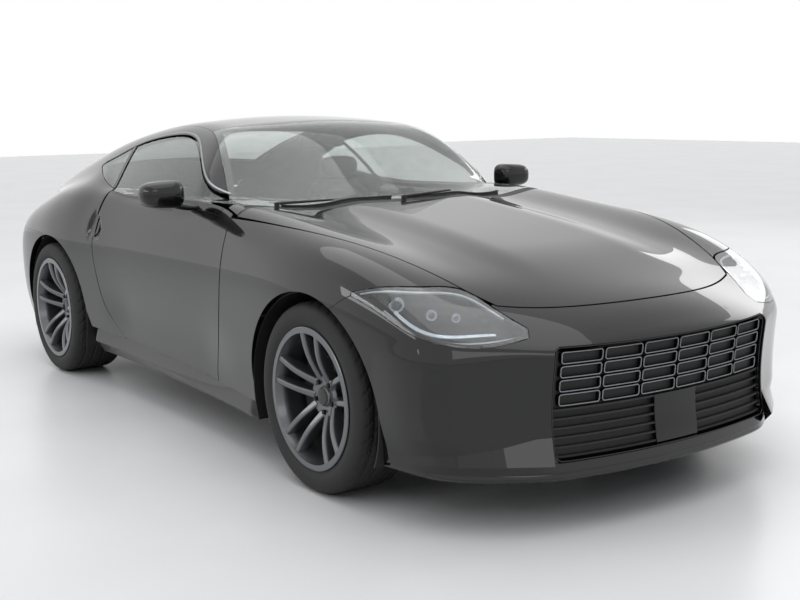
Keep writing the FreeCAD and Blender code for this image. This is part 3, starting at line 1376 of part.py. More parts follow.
def disc_and_hub():
    """Brake disc, its bell and the hub shaft that runs in the bearing."""
    d = DISC_PLANE
    t = DISC_THICKNESS / 2
    back = d - t - 8
    return turned([(0, back - HUB_DEPTH - 4), (SPINDLE_RADIUS, back - HUB_DEPTH - 4),
                   (SPINDLE_RADIUS, back + 2),
                   (70, back + 2), (70, d - t), (DISC_RADIUS, d - t), (DISC_RADIUS, d + t), (92, d + t),
                   (86, HUB_FACE - SEAT_GAP), (0, HUB_FACE - SEAT_GAP)])


def wheels():
    for end, x, track, radius, width in (
            ("front", FRONT_AXLE, TRACK_FRONT, TYRE_RADIUS_FRONT, TYRE_WIDTH_FRONT),
            ("rear", REAR_AXLE, TRACK_REAR, TYRE_RADIUS_REAR, TYRE_WIDTH_REAR)):
        pieces = {"tyre": tyre(radius, width), "wheel": Part.makeCompound([rim(width), disc_and_hub()])}
        for piece, shape in pieces.items():
            shape.translate(V(x, track / 2, radius))
            keep(f"{piece}_{end}_left", shape)
            keep(f"{piece}_{end}_right", mirrored(shape))


def build():
    lamp_hole = headlamp_hole()
    lid_hole = bonnet_hole()
    doors()
    door_glass()
    quarter_glass()
    cantrails()
    roof_panel()
    cowl_panel()
    windscreen()
    bonnet()
    opening = door_hole()
    fenders(lamp_hole, opening)
    quarters(quarter_glass_hole(), opening)
    hatch()
    front_bumper(lamp_hole, lid_hole)
    headlamps(lid_hole)
    grille()
    splitter()
    sills()
    rear_bumper()
    tail_lamps()
    diffuser()
    floor_pan()
    bulkhead()
    engine_bay()
    rear_floor()
    arch_liners()
    front_tray()
    powertrain()
    front_axle()
    knuckles()
    rear_axle()
    exhaust()
    radiator()
    dashboard()
    keep("seats", both_sides(seat(SEAT_OFFSET)))
    steering_wheel()
    luggage_trim()
    mirrors()
    wheels()


build()
os.makedirs("parts", exist_ok=True)
for name, shape in PARTS.items():
    print(name, shape.isValid(), len(shape.Solids), round(shape.Volume / 1e6, 2))
    shape.exportStep("parts/" + name + ".step")
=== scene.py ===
import math

import bpy
import numpy as np
from mathutils import Matrix, Vector


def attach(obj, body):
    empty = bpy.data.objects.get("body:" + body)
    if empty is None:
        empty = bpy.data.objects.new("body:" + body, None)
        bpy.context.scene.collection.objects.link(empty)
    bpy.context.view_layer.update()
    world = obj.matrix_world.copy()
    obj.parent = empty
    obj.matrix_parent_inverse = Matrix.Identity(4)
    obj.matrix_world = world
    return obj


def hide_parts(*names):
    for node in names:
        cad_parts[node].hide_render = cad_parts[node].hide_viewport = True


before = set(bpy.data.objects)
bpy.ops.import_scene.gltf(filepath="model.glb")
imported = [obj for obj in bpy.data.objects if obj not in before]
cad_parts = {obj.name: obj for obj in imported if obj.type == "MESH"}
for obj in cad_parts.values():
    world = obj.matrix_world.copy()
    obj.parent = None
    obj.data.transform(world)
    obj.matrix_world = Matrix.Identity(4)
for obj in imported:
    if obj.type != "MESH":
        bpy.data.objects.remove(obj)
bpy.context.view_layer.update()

# Sizes in millimetres, as in the frame; meshes are written in metres
MM = 0.001
NOSE_X = 2190.0
TAIL_X = -2190.0
FRONT_AXLE = 1270.0
REAR_AXLE = -1280.0
SHUT_GAP = 6.0
SEAM_GAP = 0.6
FOLD_RADIUS = 1.4
AHEAD = np.array([1.0, 0.0, 0.0])
BACK = -AHEAD
ARCH_CENTRE = 333.0
FRONT_ARCH = (FRONT_AXLE, 425.0, 393.0)
REAR_ARCH = (REAR_AXLE, 402.0, 385.0)


class Curve:
    """A natural cubic spline through points, straight beyond its ends:
    f = a*y0 + b*y1 + ((a^3 - a)*m0 + (b^3 - b)*m1) * h^2 / 6 on each interval."""

    def __init__(self, *points):
        self.x, self.y = np.array(points, float).T
        h = np.diff(self.x)
        n = len(self.x)
        system = np.eye(n)
        right = np.zeros(n)
        i = np.arange(1, n - 1)
        system[i, i - 1] = h[:-1]
        system[i, i] = 2 * (h[:-1] + h[1:])
        system[i, i + 1] = h[1:]
        right[1:-1] = 6 * np.diff(np.diff(self.y) / h)
        self.bend = np.linalg.solve(system, right)

    def __call__(self, x):
        x = np.asarray(x, float)
        i = np.clip(np.searchsorted(self.x, x, side="right") - 1, 0, len(self.x) - 2)
        h = self.x[i + 1] - self.x[i]
        inside = np.clip(x, self.x[0], self.x[-1])
        a = (self.x[i + 1] - inside) / h
        b = 1 - a
        m0 = self.bend[i]
        m1 = self.bend[i + 1]
        value = a * self.y[i] + b * self.y[i + 1] + ((a ** 3 - a) * m0 + (b ** 3 - b) * m1) * h * h / 6
        slope = (self.y[i + 1] - self.y[i]) / h
        slope = slope + np.where(x > inside, h * (2 * m1 + m0) / 6, -h * (2 * m0 + m1) / 6)
        return value + np.where(x == inside, 0.0, slope * (x - inside))


# Styling lines of the body, as in the frame
WIDE = Curve((-2250, 735), (-2050, 820), (-1800, 891), (-1500, 922), (-1280, 927), (-1000, 908), (-700, 884),
             (-300, 872), (100, 872), (500, 882), (850, 904), (1150, 923), (1400, 922), (1650, 904),
             (1850, 866), (2000, 812), (2200, 700))
TUCK = Curve((130, 70), (220, 40), (340, 14), (480, 2), (600, 0), (700, 4), (800, 20), (880, 44), (950, 72),
             (1050, 125), (1200, 220))
CENTRE = Curve((-2250, 800), (-2100, 838), (-1900, 872), (-1700, 900), (-1400, 928), (-1000, 950),
               (-500, 972), (0, 978), (300, 974), (600, 958), (900, 926), (1270, 880), (1500, 846),
               (1750, 800), (1950, 748), (2050, 713), (2120, 676), (2200, 612))
CREST = Curve((-2250, 690), (-2100, 735), (-1900, 800), (-1700, 868), (-1400, 940), (-1200, 965),
              (-900, 978), (-500, 982), (0, 984), (300, 984), (600, 976), (900, 950), (1150, 922),
              (1400, 886), (1600, 838), (1780, 762), (1930, 660), (2050, 560), (2200, 430))
SHOULDER = Curve((-2250, 160), (-1900, 220), (-1500, 260), (-900, 120), (-500, 60), (400, 60), (700, 150),
                 (1000, 220), (1500, 230), (1800, 180), (2000, 60), (2200, 30))
ROOF_LINE = Curve((-2190, 915), (-2080, 950), (-1950, 984), (-1700, 1058), (-1400, 1144), (-1100, 1222),
                  (-850, 1270), (-600, 1302), (-330, 1315), (-100, 1303), (80, 1274), (300, 1150),
                  (580, 965), (700, 885), (900, 750))
CABIN = Curve((-2250, 520), (-2000, 600), (-1700, 668), (-1400, 720), (-1100, 765), (-800, 794), (-400, 814),
              (0, 818), (300, 808), (500, 783), (700, 705))
FACE = Curve((100, -30), (180, -8), (245, -3), (330, -14), (430, -18), (520, -12), (620, -2), (700, -2))
TAIL = Curve((100, -2060), (250, -2120), (420, -2178), (560, -2186), (680, -2165), (780, -2128),
             (860, -2134), (930, -2150), (980, -2150))
UNDERSIDE = 110.0


def soft_max(a, b, width):
    """max(a, b), rounded where the two are within width: max + (1 - |a - b| / width)^3 * width / 6."""
    h = np.maximum(width - np.abs(a - b), 0.0) / width
    return np.maximum(a, b) + h ** 3 * width / 6


def soft_min(a, b, width):
    """min(a, b), rounded in the same way."""
    return -soft_max(-a, -b, width)


def ease(t):
    """0 to 1 with flat ends: t^3 * (10 - 15 t + 6 t^2)."""
    t = np.clip(t, 0.0, 1.0)
    return t * t * t * (10 - 15 * t + 6 * t * t)


def deck_height(x, y):
    """Height of the bonnet and the rear deck: from the centre line to the crest with the square of y,
    with the bonnet's raised middle and the hollow beside it."""
    t = np.minimum(y / 760.0, 1.6)
    bonnet = ease((x - 350) / 300) * (1 - ease((x - 1500) / 450))
    bulge = 15 * (1 - ease((y - 230) / 210)) - 12 * np.exp(-((y - 520) / 130) ** 2)
    return CENTRE(x) + (CREST(x) - CENTRE(x)) * t * t + bonnet * bulge


def half_width(x, z):
    """The plan's half width less the tuck at each height, and the hollow low in the door."""
    door = ease((x + 800) / 450) * (1 - ease((x - 300) / 450))
    return WIDE(x) - TUCK(z) - door * 14 * np.exp(-((z - 400) / 110) ** 2)


def nose_reach(y, z):
    """How far the nose reaches: a flat arc in front and a slanted corner, set back by the face's curve."""
    return soft_min(NOSE_X - y * y * 0.00023, 2133 - (y - 500) * 0.62, 30) + FACE(z)


def tail_reach(y, z):
    """How far the tail reaches: its profile, rounded in plan by squares of y."""
    return TAIL(z) + y * y * 0.00022 + np.maximum(y - 450, 0) ** 2 * 0.0005


def cabin_half_width(x, z):
    """Half width of the cabin, which leans in from the belt line with z and its square."""
    rise = np.maximum(z - 930, 0)
    return CABIN(x) - rise * 0.62 - rise * rise * 0.00055


def roof_height(x, y):
    """The roof line, lowered by its crown with the square of y."""
    crown = 55 + ease((x + 100) / 500) * 90
    return ROOF_LINE(x) - crown * 0.9 * (y / 620) ** 2


def body(p):
    """Below zero inside the closed body and above it outside: the lower body and the cabin, each the
    soft maximum of its side, top and ends, joined by a soft minimum."""
    x = p[..., 0]
    y = np.abs(p[..., 1])
    z = p[..., 2]
    tail = tail_reach(y, z) - x
    lower = soft_max(y - half_width(x, z), x - nose_reach(y, z), 150)
    lower = soft_max(lower, tail, 180)
    lower = soft_max(lower, z - deck_height(x, y), np.maximum(SHOULDER(x), 25))
    lower = soft_max(lower, UNDERSIDE - z, 24)
    upper = soft_max(z - roof_height(x, y), y - cabin_half_width(x, z), 110)
    upper = soft_max(soft_max(upper, tail + 110 * (1 - ease((z - 700) / 170)), 60), 650 - z, 60)
    return soft_min(lower, upper, 12 + 190 * ease((-x - 650) / 500))


def outward(p, e=0.5):
    """Unit normals of the body at points, from central differences of body."""
    return unit(np.stack([body(p + d) - body(p - d) for d in np.eye(3) * e], -1))


def skin(start, direction, reach):
    """Where rays from inside leave the body for the last time: marched inwards from reach, then
    narrowed by false position kept away from the interval's ends."""
    start, direction = np.broadcast_arrays(start, direction)
    shape = start.shape[:-1]
    start = start.reshape(-1, 3)
    direction = direction.reshape(-1, 3)
    outer = np.full(len(start), float(reach))
    step = 60.0
    active = np.arange(len(start))
    while len(active):
        t = outer[active] - step
        out = body(start[active] + direction[active] * t[:, None]) > 0
        out &= outer[active] > step
        outer[active[out]] -= step
        active = active[out]
    inner = outer - step
    f_in = body(start + direction * inner[:, None])
    f_out = body(start + direction * outer[:, None])
    t = inner
    for _ in range(16):
        t = inner - f_in * (outer - inner) / (f_out - f_in)
        t = np.clip(t, inner + 0.05 * (outer - inner), outer - 0.05 * (outer - inner))
        f = body(start + direction * t[:, None])
        inside = f < 0
        inner = np.where(inside, t, inner)
        f_in = np.where(inside, f, f_in)
        outer = np.where(inside, outer, t)
        f_out = np.where(inside, f_out, f)
    return (start + direction * t[:, None]).reshape(*shape, 3)


def unit(n):
    """Vectors scaled to length 1."""
    return n / np.maximum(np.linalg.norm(n, axis=-1, keepdims=True), 1e-12)


def points(x, y, z):
    """Points from three arrays of coordinates."""
    return np.stack(np.broadcast_arrays(x, y, z), -1).astype(float)


# Ways to lay a drawing on the body: two drawn numbers give the point on the skin
GIRTH_HEIGHT = 450.0
GIRTH_FAN = -1650.0
FAN_RADIUS = 820.0
NOSE_AXIS = 1200.0
TAIL_AXIS = -1250.0
HATCH_AXIS = (-1250.0, 600.0)


def from_side(x, z):
    """Rays straight out to the left."""
    return skin(points(x, 0, z), np.array([0.0, 1.0, 0.0]), 1200)


def from_above(x, y):
    """Rays straight up."""
    return skin(points(x, y, 500.0), np.array([0.0, 0.0, 1.0]), 1000)


def round_girth(x, angle):
    """Rays square to the body's axis, at an angle up from level, which fan out backwards at the tail."""
    a = np.radians(angle)
    lean = np.arctan(np.maximum(GIRTH_FAN - x, 0) / FAN_RADIUS)
    direction = points(-np.sin(lean), np.cos(lean) * np.cos(a), np.cos(lean) * np.sin(a))
    return skin(points(np.maximum(x, GIRTH_FAN) + 0 * angle, 0, GIRTH_HEIGHT), direction, 1300)


def round_nose(angle, z):
    """Level rays round an upright axis behind the nose, from straight ahead."""
    a = np.radians(angle)
    return skin(points(NOSE_AXIS, 0, z), points(np.cos(a), np.sin(a), 0), 1300)


def round_tail(angle, z):
    """Level rays round an upright axis before the tail, from straight back."""
    a = np.radians(angle)
    return skin(points(TAIL_AXIS, 0, z), points(-np.cos(a), np.sin(a), 0), 1300)


def round_back(angle, y):
    """Rays round a cross axis below the rear window, from straight up towards the tail."""
    a = np.radians(angle)
    return skin(points(HATCH_AXIS[0], y, HATCH_AXIS[1]), points(-np.sin(a), 0, np.cos(a)), 1300)


def girth_angle(p):
    """Angle of a point up from level, round the body's axis: atan2(z - GIRTH_HEIGHT, y)."""
    return np.degrees(np.arctan2(p[..., 2] - GIRTH_HEIGHT, p[..., 1]))


def back_angle(p):
    """Angle of a point round the cross axis below the rear window, from straight up."""
    return -np.degrees(np.arctan2(p[..., 0] - HATCH_AXIS[0], p[..., 2] - HATCH_AXIS[1]))


def patch(first, second, low, high, start):
    """Fills four edges: first and second give a for each b, low and high give b for each a. Both are
    solved together by repeated substitution."""
    def at(u, v):
        b = np.full(np.shape(u), float(start))
        a = b
        for _ in range(8):
            a = first(b) + (second(b) - first(b)) * u
            b = low(a) + (high(a) - low(a)) * v
        return a, b

    return at


def constant(value):
    """An edge that stays at one value."""
    return lambda t: value + 0 * t


# Outlines on the skin, as in the frame
DOOR_FRONT = Curve((160, 462), (250, 471), (482, 548), (648, 577), (806, 578), (929, 575), (1000, 574))
DOOR_REAR = Curve((160, -500), (290, -500), (310, -530), (417, -656), (536, -716), (704, -768), (902, -735),
                  (963, -721), (1080, -760), (1180, -815), (1230, -850), (1320, -880))
DOOR_STEP = 326.0
DOOR_BOTTOM = Curve((-860, 296), (-460, 286), (495, 255), (789, 244))
BELT = Curve((-800, 974), (-715, 972), (-510, 962), (-379, 962), (0, 972), (363, 972), (480, 962),
             (600, 940))
GLASS_TOP = Curve((-1200, 1050), (-1128, 1077), (-964, 1128), (-800, 1180), (-602, 1217), (-417, 1234),
                  (-257, 1231), (-131, 1203), (60, 1112), (245, 1018), (345, 976), (420, 950))
QUARTER_GLASS_LOW = Curve((-1200, 1085), (-1128, 1068), (-983, 1028), (-850, 997), (-715, 977), (-600, 970))
GUTTER = Curve((-1100, 484), (-850, 490), (-600, 497), (-300, 510), (-112, 541), (60, 602), (200, 652),
               (350, 702), (518, 748), (600, 770))
BONNET_SIDE = Curve((540, 816), (646, 816), (769, 812), (1000, 795), (1180, 772), (1428, 722), (1600, 672),
                    (1720, 634), (1811, 602), (1884, 565), (2000, 500))
LAMP_TOP = Curve((32.5, 656), (38.3, 707), (45.1, 761), (54.5, 784), (61.9, 783), (66.9, 766), (69, 758))
LAMP_LOW = Curve((32.5, 641), (35.9, 630), (41.9, 618), (48.4, 629), (54.8, 664), (61.7, 715), (69, 749))
LAMP_ENDS = (33.2, 68.6)
BUMPER_TOP = Curve((0, 736), (20, 737), (30, 737), (36, 734), (39.5, 727), (43, 712), (48, 704), (54.8, 720),
                   (61.7, 748), (67, 755), (73.1, 708), (76.4, 680), (80, 656))
BUMPER_BOTTOM = 205.0
BUMPER_SIDE = 80.0
SPLITTER_SIDE = 66.0
SPLITTER_LOW = 174.0
SENSORS = ((-640, 560), (640, 560), (-300, 655), (300, 655))
FENDER_LOW = Curve((540, -15), (700, -15), (850, -14.6), (1000, -8), (1200, 6), (1350, 13.4), (1450, 16),
                   (1556, 18), (1653, 20.2), (1735, 22.6), (1790, 24.2))
FENDER_TIP = 1790.0
QUARTER_LOW = Curve((-2150, 14), (-1900, 12), (-1600, 9), (-1280, 6), (-1000, -6), (-850, -12.8),
                    (-700, -13), (-480, -13))
QUARTER_REAR = -2105.0
HATCH_SIDE_AT = Curve((-2150, 598), (-1900, 582), (-1600, 548), (-1300, 515), (-1000, 492), (-800, 480),
                      (-500, 482))
BUMPER_REAR_TOP = 722.0
BUMPER_REAR_END = -1400.0
BUMPER_REAR_SIDE = 81.5
BUMPER_REAR_LOW = 238.0
LAMP_BAND_TOP = 858.0
LAMP_BAND_END = 50.0
SILL_REAR = -862.0
SILL_FRONT = 838.0
SILL_LOW = 172.0
MOUTH = (511.0, 243.0, 612.0, 30.0)
ROOF_REAR = -800.0
HATCH_GAP = 7.5
HATCH_PANE_LOW = 42.5
HATCH_PANE_SIDE = 32.0
PIPE_Y = 480.0
PIPE_Z = 300.0
PIPE_END = TAIL_X + 22
PLATE_Z = 520.0
DIFFUSER_TOP = 392.0
DIFFUSER_LOW = 255.0
DIFFUSER_SIDE = 27.0
DIFFUSER_FLARE = 0.086
CANTRAIL_REAR = -850.0
CANTRAIL_FRONT = 505.0


def header(y):
    """Station of the windscreen's upper edge, set back with the fourth power of y."""
    return 12 - 126 * (y / 541) ** 4


def cowl(y):
    """Station of the bonnet's rear edge, set back with the square of y."""
    return 708 - 0.000145 * y * y


def bonnet_nose(y):
    """Station of the bonnet's front edge, set back with the square of y."""
    return 2050 - 0.0005 * y * y


def sampled(function, low, high, count):
    """A curve through values of a costly function at even stations."""
    stations = np.linspace(low, high, count)
    return Curve(*zip(stations, function(stations)))


def hatch_side(angle):
    """Half width of the tailgate at an angle round the back."""
    return HATCH_SIDE_AT(HATCH_STATION(angle))


HATCH_STATION = sampled(lambda a: round_back(a, 480.0)[..., 0], -42, 84, 19)
HATCH_FRONT = sampled(lambda y: back_angle(from_above(ROOF_REAR - HATCH_GAP, y)), -640, 640, 17)
HATCH_REAR = sampled(lambda y: back_angle(skin(points(HATCH_AXIS[0], y, LAMP_BAND_TOP + SHUT_GAP + 1),
                                               BACK, 1300)), -640, 640, 17)


def quarter_top(x):
    """Girth angle of the quarter panel's upper edge, beside the tailgate."""
    at = x
    for _ in range(4):
        angle = girth_angle(from_above(at, HATCH_SIDE_AT(at) + SHUT_GAP))
        at = round_girth(x, angle)[..., 0]
    return angle


QUARTER_TOP = sampled(quarter_top, -2120, -480, 30)


# Meshes: points P with normals N and triangles T, all in the frame's millimetres

class Sheet:
    def __init__(self, p, n, t):
        self.p = p
        self.n = n
        self.t = t

    def clipped(self, keep):
        """The part where keep(points) is above zero. Triangles that cross zero are divided there, at
        points found by false position along their edges and moved back onto the body."""
        f = keep(self.p)
        f = np.where(np.abs(f) < 0.02, 0.02, f)
        inside = f > 0
        count = inside[self.t].sum(1)
        whole = self.t[count == 3]
        mixed = self.t[(count == 1) | (count == 2)]
        if not len(mixed):
            return Sheet(self.p, self.n, whole)
        lone = np.where(inside[mixed].sum(1) == 1, inside[mixed].argmax(1), (~inside[mixed]).argmax(1))
        rows = np.arange(len(mixed))
        a = mixed[rows, lone]
        b = mixed[rows, (lone + 1) % 3]
        c = mixed[rows, (lone + 2) % 3]
        edges = np.sort(np.concatenate([np.stack([a, b], 1), np.stack([a, c], 1)]), axis=1)
        unique, where = np.unique(edges, axis=0, return_inverse=True)
        where = where.reshape(-1)
        low, high = self.p[unique[:, 0]], self.p[unique[:, 1]]
        s, e = np.zeros(len(unique)), np.ones(len(unique))
        fs, fe = f[unique[:, 0]], f[unique[:, 1]]
        for _ in range(8):
            m = np.clip(s - fs * (e - s) / (fe - fs), s + 0.02 * (e - s), e - 0.02 * (e - s))
            fm = keep(low + (high - low) * m[:, None])
            same = (fm > 0) == (fs > 0)
            s, fs = np.where(same, m, s), np.where(same, fm, fs)
            e, fe = np.where(same, e, m), np.where(same, fe, fm)
        m = m[:, None]
        new_n = unit(self.n[unique[:, 0]] * (1 - m) + self.n[unique[:, 1]] * m)
        base = len(self.p)
        ab = base + where[:len(mixed)]
        ac = base + where[len(mixed):]
        one = inside[a]
        triangles = [whole, np.stack([a, ab, ac], 1)[one], np.stack([ab, b, c], 1)[~one],
                     np.stack([ab, c, ac], 1)[~one]]
        return Sheet(np.concatenate([self.p, low + (high - low) * m]), np.concatenate([self.n, new_n]),
                     np.concatenate(triangles)).tidy()

    def cut(self, *keeps):
        """The sheet after several such cuts."""
        sheet = self
        for keep in keeps:
            sheet = sheet.clipped(keep)
        return sheet

    def tidy(self):
        """Drops unused points and triangles of no size."""
        side = self.p[self.t[:, 1]] - self.p[self.t[:, 0]]
        other = self.p[self.t[:, 2]] - self.p[self.t[:, 0]]
        t = self.t[np.linalg.norm(np.cross(side, other), axis=1) > 1e-6]
        used = np.unique(t)
        index = np.zeros(len(self.p), int)
        index[used] = np.arange(len(used))
        return Sheet(self.p[used], self.n[used], index[t])

    def border(self):
        """The edges that have a triangle on one side only, with the sheet on their left."""
        e = np.concatenate([self.t[:, [0, 1]], self.t[:, [1, 2]], self.t[:, [2, 0]]])
        key = np.sort(e, axis=1)
        _, index, count = np.unique(key, axis=0, return_index=True, return_counts=True)
        return e[index[count == 1]]

    def mirrored(self):
        flip = np.array([1.0, -1.0, 1.0])
        return Sheet(self.p * flip, self.n * flip, self.t[:, ::-1])

    def away_from(self, centre):
        """The same sheet, turned over where it faces the centre."""
        if ((self.p - centre) * self.n).sum() < 0:
            return Sheet(self.p, -self.n, self.t[:, ::-1])
        return self

    def moved(self, offset):
        return Sheet(self.p + np.asarray(offset, float), self.n, self.t)

    def joined(self, *others):
        p, n, t = [self.p], [self.n], [self.t]
        total = len(self.p)
        for o in others:
            p.append(o.p)
            n.append(o.n)
            t.append(o.t + total)
            total += len(o.p)
        return Sheet(np.concatenate(p), np.concatenate(n), np.concatenate(t))

    def thick(self, depth, fold=FOLD_RADIUS):
        """Closed: the sheet, its edges rolled over by a radius, its sides, and an inner face a depth
        below it. Edge rows stand at p + t r sin f - n r (1 - cos f) for f from 0 to 90 degrees."""
        border = self.border()
        run = self.p[border[:, 1]] - self.p[border[:, 0]]
        run /= np.maximum(np.linalg.norm(run, axis=1, keepdims=True), 1e-9)
        aside = np.zeros_like(self.p)
        for end in (0, 1):
            np.add.at(aside, border[:, end], np.cross(run, self.n[border[:, end]]))
        length = np.linalg.norm(aside, axis=1, keepdims=True)
        aside = aside / np.maximum(length, 1e-9) * np.clip(2 / np.maximum(length, 1e-9), 1, 1.5)
        rim = np.unique(border)
        index = np.zeros(len(self.p), int)
        index[rim] = np.arange(len(rim))
        p, n, t = [self.p], [self.n], [self.t]
        a, b = border[:, 0], border[:, 1]
        total = len(self.p)

        def strip(a, b, c, d):
            t.append(np.stack([b, a, d], 1))
            t.append(np.stack([a, c, d], 1))

        for f in (30, 60, 90):
            s, c = math.sin(math.radians(f)), math.cos(math.radians(f))
            p.append(self.p[rim] + aside[rim] * fold * s - self.n[rim] * fold * (1 - c))
            n.append(self.n[rim] * c + aside[rim] * s)
            nxt_a, nxt_b = total + index[border[:, 0]], total + index[border[:, 1]]
            strip(a, b, nxt_a, nxt_b)
            a, b = nxt_a, nxt_b
            total += len(rim)
        p.append(self.p[rim] + aside[rim] * fold - self.n[rim] * max(depth, fold))
        n.append(aside[rim])
        nxt_a, nxt_b = total + index[border[:, 0]], total + index[border[:, 1]]
        strip(a, b, nxt_a, nxt_b)
        total += len(rim)
        p.append(self.p - self.n * depth)
        n.append(-self.n)
        t.append(self.t[:, ::-1] + total)
        strip(nxt_a, nxt_b, total + border[:, 0], total + border[:, 1])
        n = np.concatenate(n)
        return Sheet(np.concatenate(p), n / np.maximum(np.linalg.norm(n, axis=1, keepdims=True), 1e-9),
                     np.concatenate(t))


def merged(sheets):
    """One sheet out of several."""
    return sheets[0].joined(*sheets[1:])


def lattice(first, last, rows, low, high, columns):
    """Two arrays of even values, first to last down the rows and low to high across the columns."""
    return np.meshgrid(np.linspace(first, last, rows), np.linspace(low, high, columns), indexing="ij")


def bent(t, k):
    """A value raised to a power with its sign kept, which squares off a sine when k is under 1."""
    return np.sign(t) * np.abs(t) ** k


def grid(p, n=None):
    """Triangles over a grid of points, wound so that they face along the normals."""
    rows, columns = p.shape[:2]
    i = np.arange(rows * columns).reshape(rows, columns)
    a, b, c, d = i[:-1, :-1].ravel(), i[1:, :-1].ravel(), i[1:, 1:].ravel(), i[:-1, 1:].ravel()
    t = np.concatenate([np.stack([a, b, c], 1), np.stack([a, c, d], 1)])
    flat = p.reshape(-1, 3)
    if n is None:
        du = np.gradient(p, axis=0)
        dv = np.gradient(p, axis=1)
        n = unit(np.cross(du, dv))
    n = n.reshape(-1, 3)
    face = np.cross(flat[t[:, 1]] - flat[t[:, 0]], flat[t[:, 2]] - flat[t[:, 0]])
    if (face * n[t[:, 0]]).sum() < 0:
        t = t[:, ::-1]
    return Sheet(flat, n, t)


def facing(p, n):
    """A grid of points with one normal for all."""
    return grid(p, np.broadcast_to(n, p.shape).copy())


def laid(lay, outline, rows, columns, out=0.0):
    """A sheet on the skin, at even u and v of an outline, a distance out from it."""
    u, v = lattice(0, 1, rows + 1, 0, 1, columns + 1)
    p = lay(*outline(u, v))
    n = outward(p)
    return grid(p + n * out, n)


# Materials: named for the real surface and how it was made

def linear(colour):
    """An sRGB hex colour as linear numbers: c/12.92 below 0.04045, ((c + 0.055)/1.055)^2.4 above."""
    c = np.array([int(colour[i:i + 2], 16) for i in (1, 3, 5)]) / 255.0
    c = np.where(c <= 0.04045, c / 12.92, ((c + 0.055) / 1.055) ** 2.4)
    return (*c, 1.0)


def add_node(material, kind, settings=None, inputs=None):
    """Adds a node: settings are its own properties, inputs are values or (node, output name) links."""
    tree = material.node_tree
    made = tree.nodes.new(kind)
    for name, value in (settings or {}).items():
        setattr(made, name, value)
    for name, value in (inputs or {}).items():
        if isinstance(value, tuple) and isinstance(value[0], bpy.types.Node):
            tree.links.new(value[0].outputs[value[1]], made.inputs[name])
        else:
            made.inputs[name].default_value = value
    return made


def finish_of(name, dark, light, grain, relief=0.0, stretch=(1, 1, 1), detail=3.0, **shader):
    """A Principled surface whose colour wanders between two close tones over a grain in millimetres,
    with the same grain as a relief in millimetres. stretch draws the grain out along an axis."""
    material = bpy.data.materials.new(name)
    material.use_nodes = True
    material.node_tree.nodes.clear()
    place = add_node(material, "ShaderNodeTexCoord")
    turn = add_node(material, "ShaderNodeMapping", inputs={"Vector": (place, "Object"), "Scale": stretch})
    noise = add_node(material, "ShaderNodeTexNoise",
                     inputs={"Vector": (turn, "Vector"), "Scale": 1.0 / (grain * MM), "Detail": detail})
    ramp = add_node(material, "ShaderNodeValToRGB", inputs={"Fac": (noise, "Fac")})
    ramp.color_ramp.elements[0].position = 0.35
    ramp.color_ramp.elements[0].color = linear(dark)
    ramp.color_ramp.elements[1].position = 0.65
    ramp.color_ramp.elements[1].color = linear(light)
    inputs = {"Base Color": (ramp, "Color")}
    if relief:
        inputs["Normal"] = (add_node(material, "ShaderNodeBump",
                                     inputs={"Height": (noise, "Fac"), "Distance": relief * MM,
                                             "Strength": 1.0}), "Normal")
    for key, value in shader.items():
        inputs[key.replace("_", " ")] = value
    bsdf = add_node(material, "ShaderNodeBsdfPrincipled", inputs=inputs)
    add_node(material, "ShaderNodeOutputMaterial", inputs={"Surface": (bsdf, "BSDF")})
    return material


# Baked two-layer car enamel, solid black under clear lacquer: deep, mirror-sharp reflections
PAINT = finish_of("black_enamel_under_lacquer", "#030303", "#060607", 1.2, Roughness=0.35,
                  Specular_IOR_Level=0.05, Coat_Weight=1.0, Coat_Roughness=0.015)
# Glazed acrylic black mouldings: the same black with a softer shine than the enamel
GLOSS = finish_of("gloss_black_acrylic", "#040404", "#080808", 2.0, Roughness=0.06)
# Moulded polypropylene with spark-eroded grain: dull, faintly speckled dark grey
PLASTIC = finish_of("grained_polypropylene", "#0d0d0e", "#161617", 0.7, 0.05, Roughness=0.55)
# Satin anodised aluminium strip, brushed along the car: long soft highlights
SATIN = finish_of("satin_anodised_aluminium", "#8d9093", "#a9acae", 0.5, 0.01, (0.02, 1, 1), Metallic=1.0,
                  Roughness=0.32)
# Cast aluminium wheels, turned and powder coated dark grey with metal flake
WHEEL_GREY = finish_of("flake_grey_powder_coat", "#55575a", "#66686b", 0.5, Metallic=0.8, Roughness=0.32,
                       Coat_Weight=0.6, Coat_Roughness=0.08)
# Vulcanised tyre rubber, moulded: matt, with a faint bloom in the grain
RUBBER = finish_of("vulcanised_rubber", "#101011", "#1b1b1c", 1.5, 0.06, Roughness=0.72)
# Pearlitic grey iron discs, ground: fine circular scratches, dull metal shine
IRON = finish_of("ground_grey_iron", "#6b6a68", "#8a8987", 0.6, 0.02, Metallic=1.0, Roughness=0.38)
# Painted cast callipers and forged arms: dark satin coating over a cast skin
CASTING = finish_of("painted_casting", "#1d1e20", "#2a2b2d", 1.5, 0.12, Roughness=0.5)
# Pressed steel body shell in black e-coat: even low sheen
E_COAT = finish_of("black_electrocoat", "#08080a", "#101012", 3.0, 0.02, Roughness=0.45)
# Cast alloy engine cover and case: sand-cast skin, greyer than the shell
CAST_ALLOY = finish_of("sand_cast_alloy", "#4b4d4f", "#66686a", 1.2, 0.15, Metallic=0.8, Roughness=0.5)
# Rolled stainless exhaust tube, lightly tanned by heat
STAINLESS = finish_of("rolled_stainless_steel", "#77726c", "#9a958e", 6.0, Metallic=1.0, Roughness=0.28)
# Drawn bright chrome-plated trim: the lamp and tailpipe rings
CHROME = finish_of("polished_chrome_plate", "#b9bcc0", "#c9ccd0", 8.0, Metallic=1.0, Roughness=0.08)
# Dark metallised lamp reflectors, vacuum coated
REFLECTOR = finish_of("metallised_reflector", "#8a8f95", "#a6abb0", 5.0, Metallic=1.0, Roughness=0.16)
